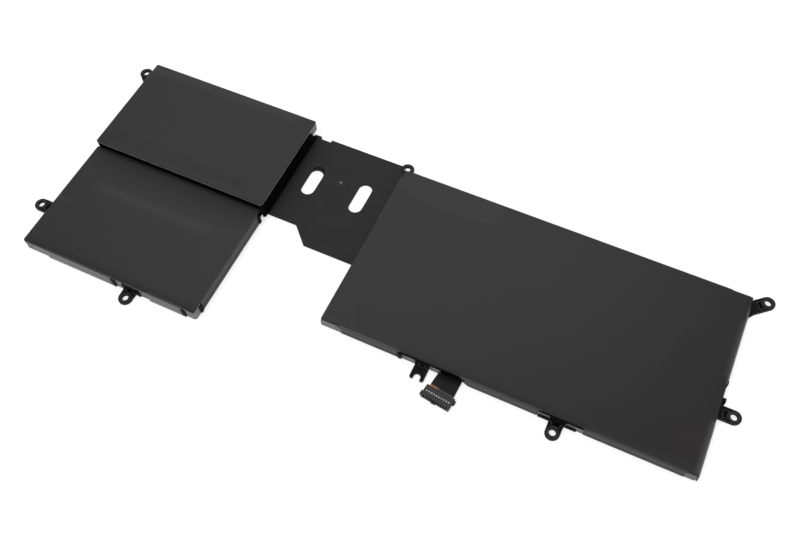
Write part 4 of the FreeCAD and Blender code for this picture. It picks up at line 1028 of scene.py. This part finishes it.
side_tape = build_side_tape()
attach(side_tape, "root")
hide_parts("tape_side")
print("side tape faces:", len(side_tape.data.polygons))

# %% [markdown]
# ## Sealed edges at the bare corners
#
# Where no flap hangs, the pouch's sealed edge shows. It is folded up against the cell's side and
# reaches lower than the cell itself. One helper hangs such a narrow wall along a path, and the same
# helper lays thin black strips as painted shade: the shadow under the film's cut edge over the two front
# windows.

# %% Narrow walls along a path
def narrow_wall(mesh, path, high, low, lean, waviness, seed):
    """path: (x, y, outward way) in order; high and low are heights in mm."""
    rows = 6
    columns = []
    for x, y, way in path:
        column = []
        for row in range(rows + 1):
            share = row / rows
            wave = waviness * waves(x * 0.5, y * 0.5, share * 2 + seed)
            crease = -0.05 * ridge(share, 0.55, 0.12) if waviness else 0.0
            out = lean * share + wave + crease
            z = high * (1 - share) + low * share
            column.append(mesh.verts.new(place(x + way[0] * out, y + way[1] * out, z)))
        columns.append(column)
    skin(mesh, columns)


def straight(start, end, way):
    count = max(2, round((Vector(end) - Vector(start)).length / 0.7))
    return [(start[0] + (end[0] - start[0]) * i / count, start[1] + (end[1] - start[1]) * i / count, way)
            for i in range(count + 1)]


def round_corner(middle, radius, first_angle, last_angle):
    path = []
    for i in range(1, 6):
        angle = math.radians(first_angle + (last_angle - first_angle) * i / 6)
        way = (math.cos(angle), math.sin(angle))
        path.append((middle[0] + radius * way[0], middle[1] + radius * way[1], way))
    return path


def wall_piece(name, walls, material, thickness):
    mesh = bmesh.new()
    for index, (path, high, low, lean, waviness) in enumerate(walls):
        narrow_wall(mesh, path, high, low, lean, waviness, index)
    piece = to_piece(mesh, name, material, thickness)
    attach(piece, "root")
    return piece


print("points on a 7 mm line:", len(straight((0, 0), (7, 0), (0, -1))))

# %% [markdown]
# The seals show at the blocks' four front corners, beside the front ear and in the windows beside
# the lug and the rail. Black strips under the film's edge over both windows and in the lead's mouth are
# painted shade.

# %% Seal folds and edge binding
front, left, right = (0.0, -1.0), (-1.0, 0.0), (1.0, 0.0)
left_corner = straight((0.12, 7.0), (0.12, 1.3), left) + round_corner((1.32, 1.32), 1.2, 180, 270)
left_corner += straight((1.4, 0.12), (14.4, 0.12), front)
middle_corner = straight((92.5, 0.12), (96.4, 0.12), front) + round_corner((96.48, 1.32), 1.2, -90, 0)
middle_corner += straight((97.68, 1.4), (97.68, 4.6), right)
right_corner = straight((323.4, 22.42), (327.6, 22.42), front)
right_corner += round_corner((327.68, 23.9), 1.5, -90, 0)
low_ends = ((151.9, 162.8), (193.6, 200.4), (207.2, 212.6), (274.6, 279.8))
low_runs = [straight((start, 22.42), (end, 22.42), front) for start, end in low_ends]
SEAL_FOOT, SEAL_LEAN, SEAL_WAVES = 0.35, 0.05, 0.03
high_runs = [left_corner, middle_corner, straight((53.5, 0.12), (72.6, 0.12), front)]
seals = [(run, 6.2, SEAL_FOOT, SEAL_LEAN, SEAL_WAVES) for run in high_runs]
seals += [(run, 4.7, SEAL_FOOT, SEAL_LEAN, SEAL_WAVES) for run in low_runs + [right_corner]]
seal_folds = wall_piece("seal_folds", seals, LAMINATE, 0.08)
# Black strips: painted shade under the film's cut edge over both windows and in the lead's mouth.
shade_strip_walls = [(straight((191.5, 22.5), (213.4, 22.5), front), 5.4, 4.6, 0.22, 0.0),
            (straight((258.5, 22.5), (279.3, 22.5), front), 5.4, 4.6, 0.22, 0.0),
            (straight((212.9, 22.62), (224.6, 22.62), front), 5.25, 1.45, 0.0, 0.0)]
shade_strips = wall_piece("shade_strips", shade_strip_walls, BLACK_TAPE, 0.06)
print("seal folds:", len(seal_folds.data.polygons), "binding:", len(shade_strips.data.polygons), "faces")

# %% [markdown]
# ## Contacts and wire ends
#
# Each contact is a small tinned barrel that bulges out of its window in the plug, so its top is
# round. The wires swell a little where they leave the tape. On the real lead the first ones have
# orange jackets and the others grey, and both show only in the short gap before the plug.

# %% A place on the turned plug
PLUG_X, PLUG_Y, PLUG_TURN = 216.2833, 14.3, math.radians(-7.0)


def on_plug(across, behind, height):
    x = PLUG_X + across * math.cos(PLUG_TURN) - behind * math.sin(PLUG_TURN)
    y = PLUG_Y + across * math.sin(PLUG_TURN) + behind * math.cos(PLUG_TURN)
    return place(x, y, height)


def rounded(mesh, middle, half, height, power):
    """A small cushion: a ball pushed towards a box."""
    ball = bmesh.ops.create_uvsphere(mesh, u_segments=20, v_segments=10, radius=1.0)["verts"]
    for vert in ball:
        x, y, z = (math.copysign(abs(c) ** power, c) for c in vert.co)
        vert.co = on_plug(middle[0] + x * half[0], middle[1] + y * half[1], middle[2] + z * height)


print("plug's middle:", [round(c, 4) for c in on_plug(0, 0, 0)])

# %% [markdown]
# Both sets are made from the same small cushion, a ball pushed towards a box. The wires stand a
# little closer together than the contacts, because the tape holds them tight.

# %% Contact barrels and wire ends
CONTACTS, PITCH, WIRE_SHARE = 10, 1.25, 0.92
contact_mesh = bmesh.new()
wire_mesh = bmesh.new()
for index in range(CONTACTS):
    across = (index - (CONTACTS - 1) / 2) * PITCH
    rounded(contact_mesh, (across, -3.0, 2.3), (0.38, 0.36), 0.46, 0.7)
    rounded(wire_mesh, (across * WIRE_SHARE, 0.25, 1.62), (0.46, 0.85), 0.5, 0.8)
contacts = to_piece(contact_mesh, "contact_barrels", CONTACT)
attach(contacts, "root")
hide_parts("plug_contacts")
wire_ends = to_piece(wire_mesh, "wire_ends", WIRE_END)
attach(wire_ends, "root")
print("contact faces:", len(contacts.data.polygons), "wire end faces:", len(wire_ends.data.polygons))

# %% Replace the CAD films
for piece, stands_for in ((left_front, "film_left_front"), (left_rear, "film_left_rear"),
                          (right_film, "film_right")):
    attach(piece, "root")
    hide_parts(stands_for)
print("films replaced: 3")

# %% [markdown]
# ## Studio
#
# The pack lies on a plain pale floor. The floor is painted pale and glows a little for the camera,
# so that it reads as white paper but keeps the pack's own shadow. In the film's gloss it glows less
# than half as much, or the sides would turn pale.

# %% Floor and backdrop
def make_floor():
    made, tree = new_material("floor_paper")
    slow = use_group(tree, UNEVEN, {"Scale": 3.0, "Contrast": 0.3})
    base = mixed(tree, slow.outputs["Mask"], grey(0.80), grey(0.82))
    paper = node(tree, "ShaderNodeBsdfPrincipled", {"Base Color": base, "Roughness": 0.9,
                                                    "Specular IOR Level": 0.1})
    ray = node(tree, "ShaderNodeLightPath")
    in_gloss = multiplied(tree, ray.outputs["Is Glossy Ray"], 0.4)
    shown = maths(tree, "MAXIMUM", ray.outputs["Is Camera Ray"], in_gloss)
    glow = node(tree, "ShaderNodeEmission", {"Color": (1, 1, 1, 1),
                                             "Strength": multiplied(tree, shown, 0.57)})
    both = node(tree, "ShaderNodeAddShader", {0: paper.outputs[0], 1: glow.outputs[0]})
    node(tree, "ShaderNodeOutputMaterial", {"Surface": both.outputs[0]})
    return made


floor_mesh = bmesh.new()
bmesh.ops.create_grid(floor_mesh, x_segments=2, y_segments=2, size=4.0)
floor = to_piece(floor_mesh, "floor", make_floor())
floor.location.z = -0.00002
print("floor ready")

# %% [markdown]
# Soft light comes from all round, brighter near the horizon and dimmer above. The camera itself
# sees it as plain white.

# %% World
world = bpy.data.worlds.new("studio")
bpy.context.scene.world = world
world.use_nodes = True
sky = world.node_tree
sky.nodes.clear()
seen = node(sky, "ShaderNodeLightPath")
way = node(sky, "ShaderNodeTexCoord")
parts = node(sky, "ShaderNodeSeparateXYZ", {"Vector": way.outputs["Generated"]})
strength = ranged(sky, parts.outputs["Z"], 1.0, 0.30, 0.0, 0.9)
plain = node(sky, "ShaderNodeBackground", {"Color": (1, 1, 1, 1), "Strength": strength})
white = node(sky, "ShaderNodeBackground", {"Color": (1, 1, 1, 1), "Strength": 1.0})
either = node(sky, "ShaderNodeMixShader", {0: seen.outputs["Is Camera Ray"], 1: plain.outputs[0],
                                           2: white.outputs[0]})
node(sky, "ShaderNodeOutputWorld", {"Surface": either.outputs[0]})
print("world:", world.name)

# %% [markdown]
# Three large lamps do the rest. The one in front picks out the folds, the one high behind gives
# the even sheen on the film, and the low one at the right lights the right side.

# %% Lamps
def softbox(name, position, aim, width, height, watts):
    lamp = bpy.data.lights.new(name, "AREA")
    lamp.shape = "RECTANGLE"
    lamp.size, lamp.size_y = width, height
    lamp.energy = watts
    made = bpy.data.objects.new(name, lamp)
    bpy.context.scene.collection.objects.link(made)
    made.location = position
    made.rotation_euler = (Vector(aim) - Vector(position)).to_track_quat("-Z", "Y").to_euler()
    return made


softbox("lamp_front", (-0.46, -1.05, 1.64), (0, 0, 0), 0.8, 0.6, 9.0)
softbox("lamp_rear_high", (-0.45, 0.90, 1.72), (0, 0, 0), 1.6, 0.8, 3.6)
softbox("lamp_right_low", (1.50, 0.78, 0.42), (0, 0, 0), 1.2, 0.5, 3.0)
print("lamps:", len(bpy.data.lights))

# %% [markdown]
# ## Camera
#
# The camera was fitted to the corners of the blocks, the ears and the bridge. It looks down at
# sixty degrees from the front right. Its three axes are written out, because that is exactly
# what was fitted, and no helper then has to guess which way is up. A small lens shift takes up
# the last half pixel.

# %% Camera at the photograph's place
AZIMUTH, ELEVATION, ROLL = math.radians(26.945), math.radians(59.835), math.radians(-2.151)
TARGET = place(173.486, 62.657, 0)
DISTANCE = 0.421177
FOCAL_PIXELS, WIDE = 877.499, 800
back = Vector((math.sin(AZIMUTH) * math.cos(ELEVATION), -math.cos(AZIMUTH) * math.cos(ELEVATION),
               math.sin(ELEVATION)))
level = Vector((math.cos(AZIMUTH), math.sin(AZIMUTH), 0))
upright = back.cross(level)
right = math.cos(ROLL) * level + math.sin(ROLL) * upright
up = math.cos(ROLL) * upright - math.sin(ROLL) * level
camera_data = bpy.data.cameras.new("camera")
camera_data.sensor_width = 36
camera_data.lens = 36 * FOCAL_PIXELS / WIDE
camera_data.clip_start = 0.01
camera_data.shift_y = -0.0005
camera = bpy.data.objects.new("camera", camera_data)
bpy.context.scene.collection.objects.link(camera)
turned = Matrix((right, up, back)).transposed().to_4x4()
camera.matrix_world = Matrix.Translation(TARGET + back * DISTANCE) @ turned
bpy.context.scene.camera = camera
bpy.context.scene.view_settings.view_transform = "Standard"
print("camera at", [round(v, 4) for v in camera.location], "lens", round(camera_data.lens, 2))
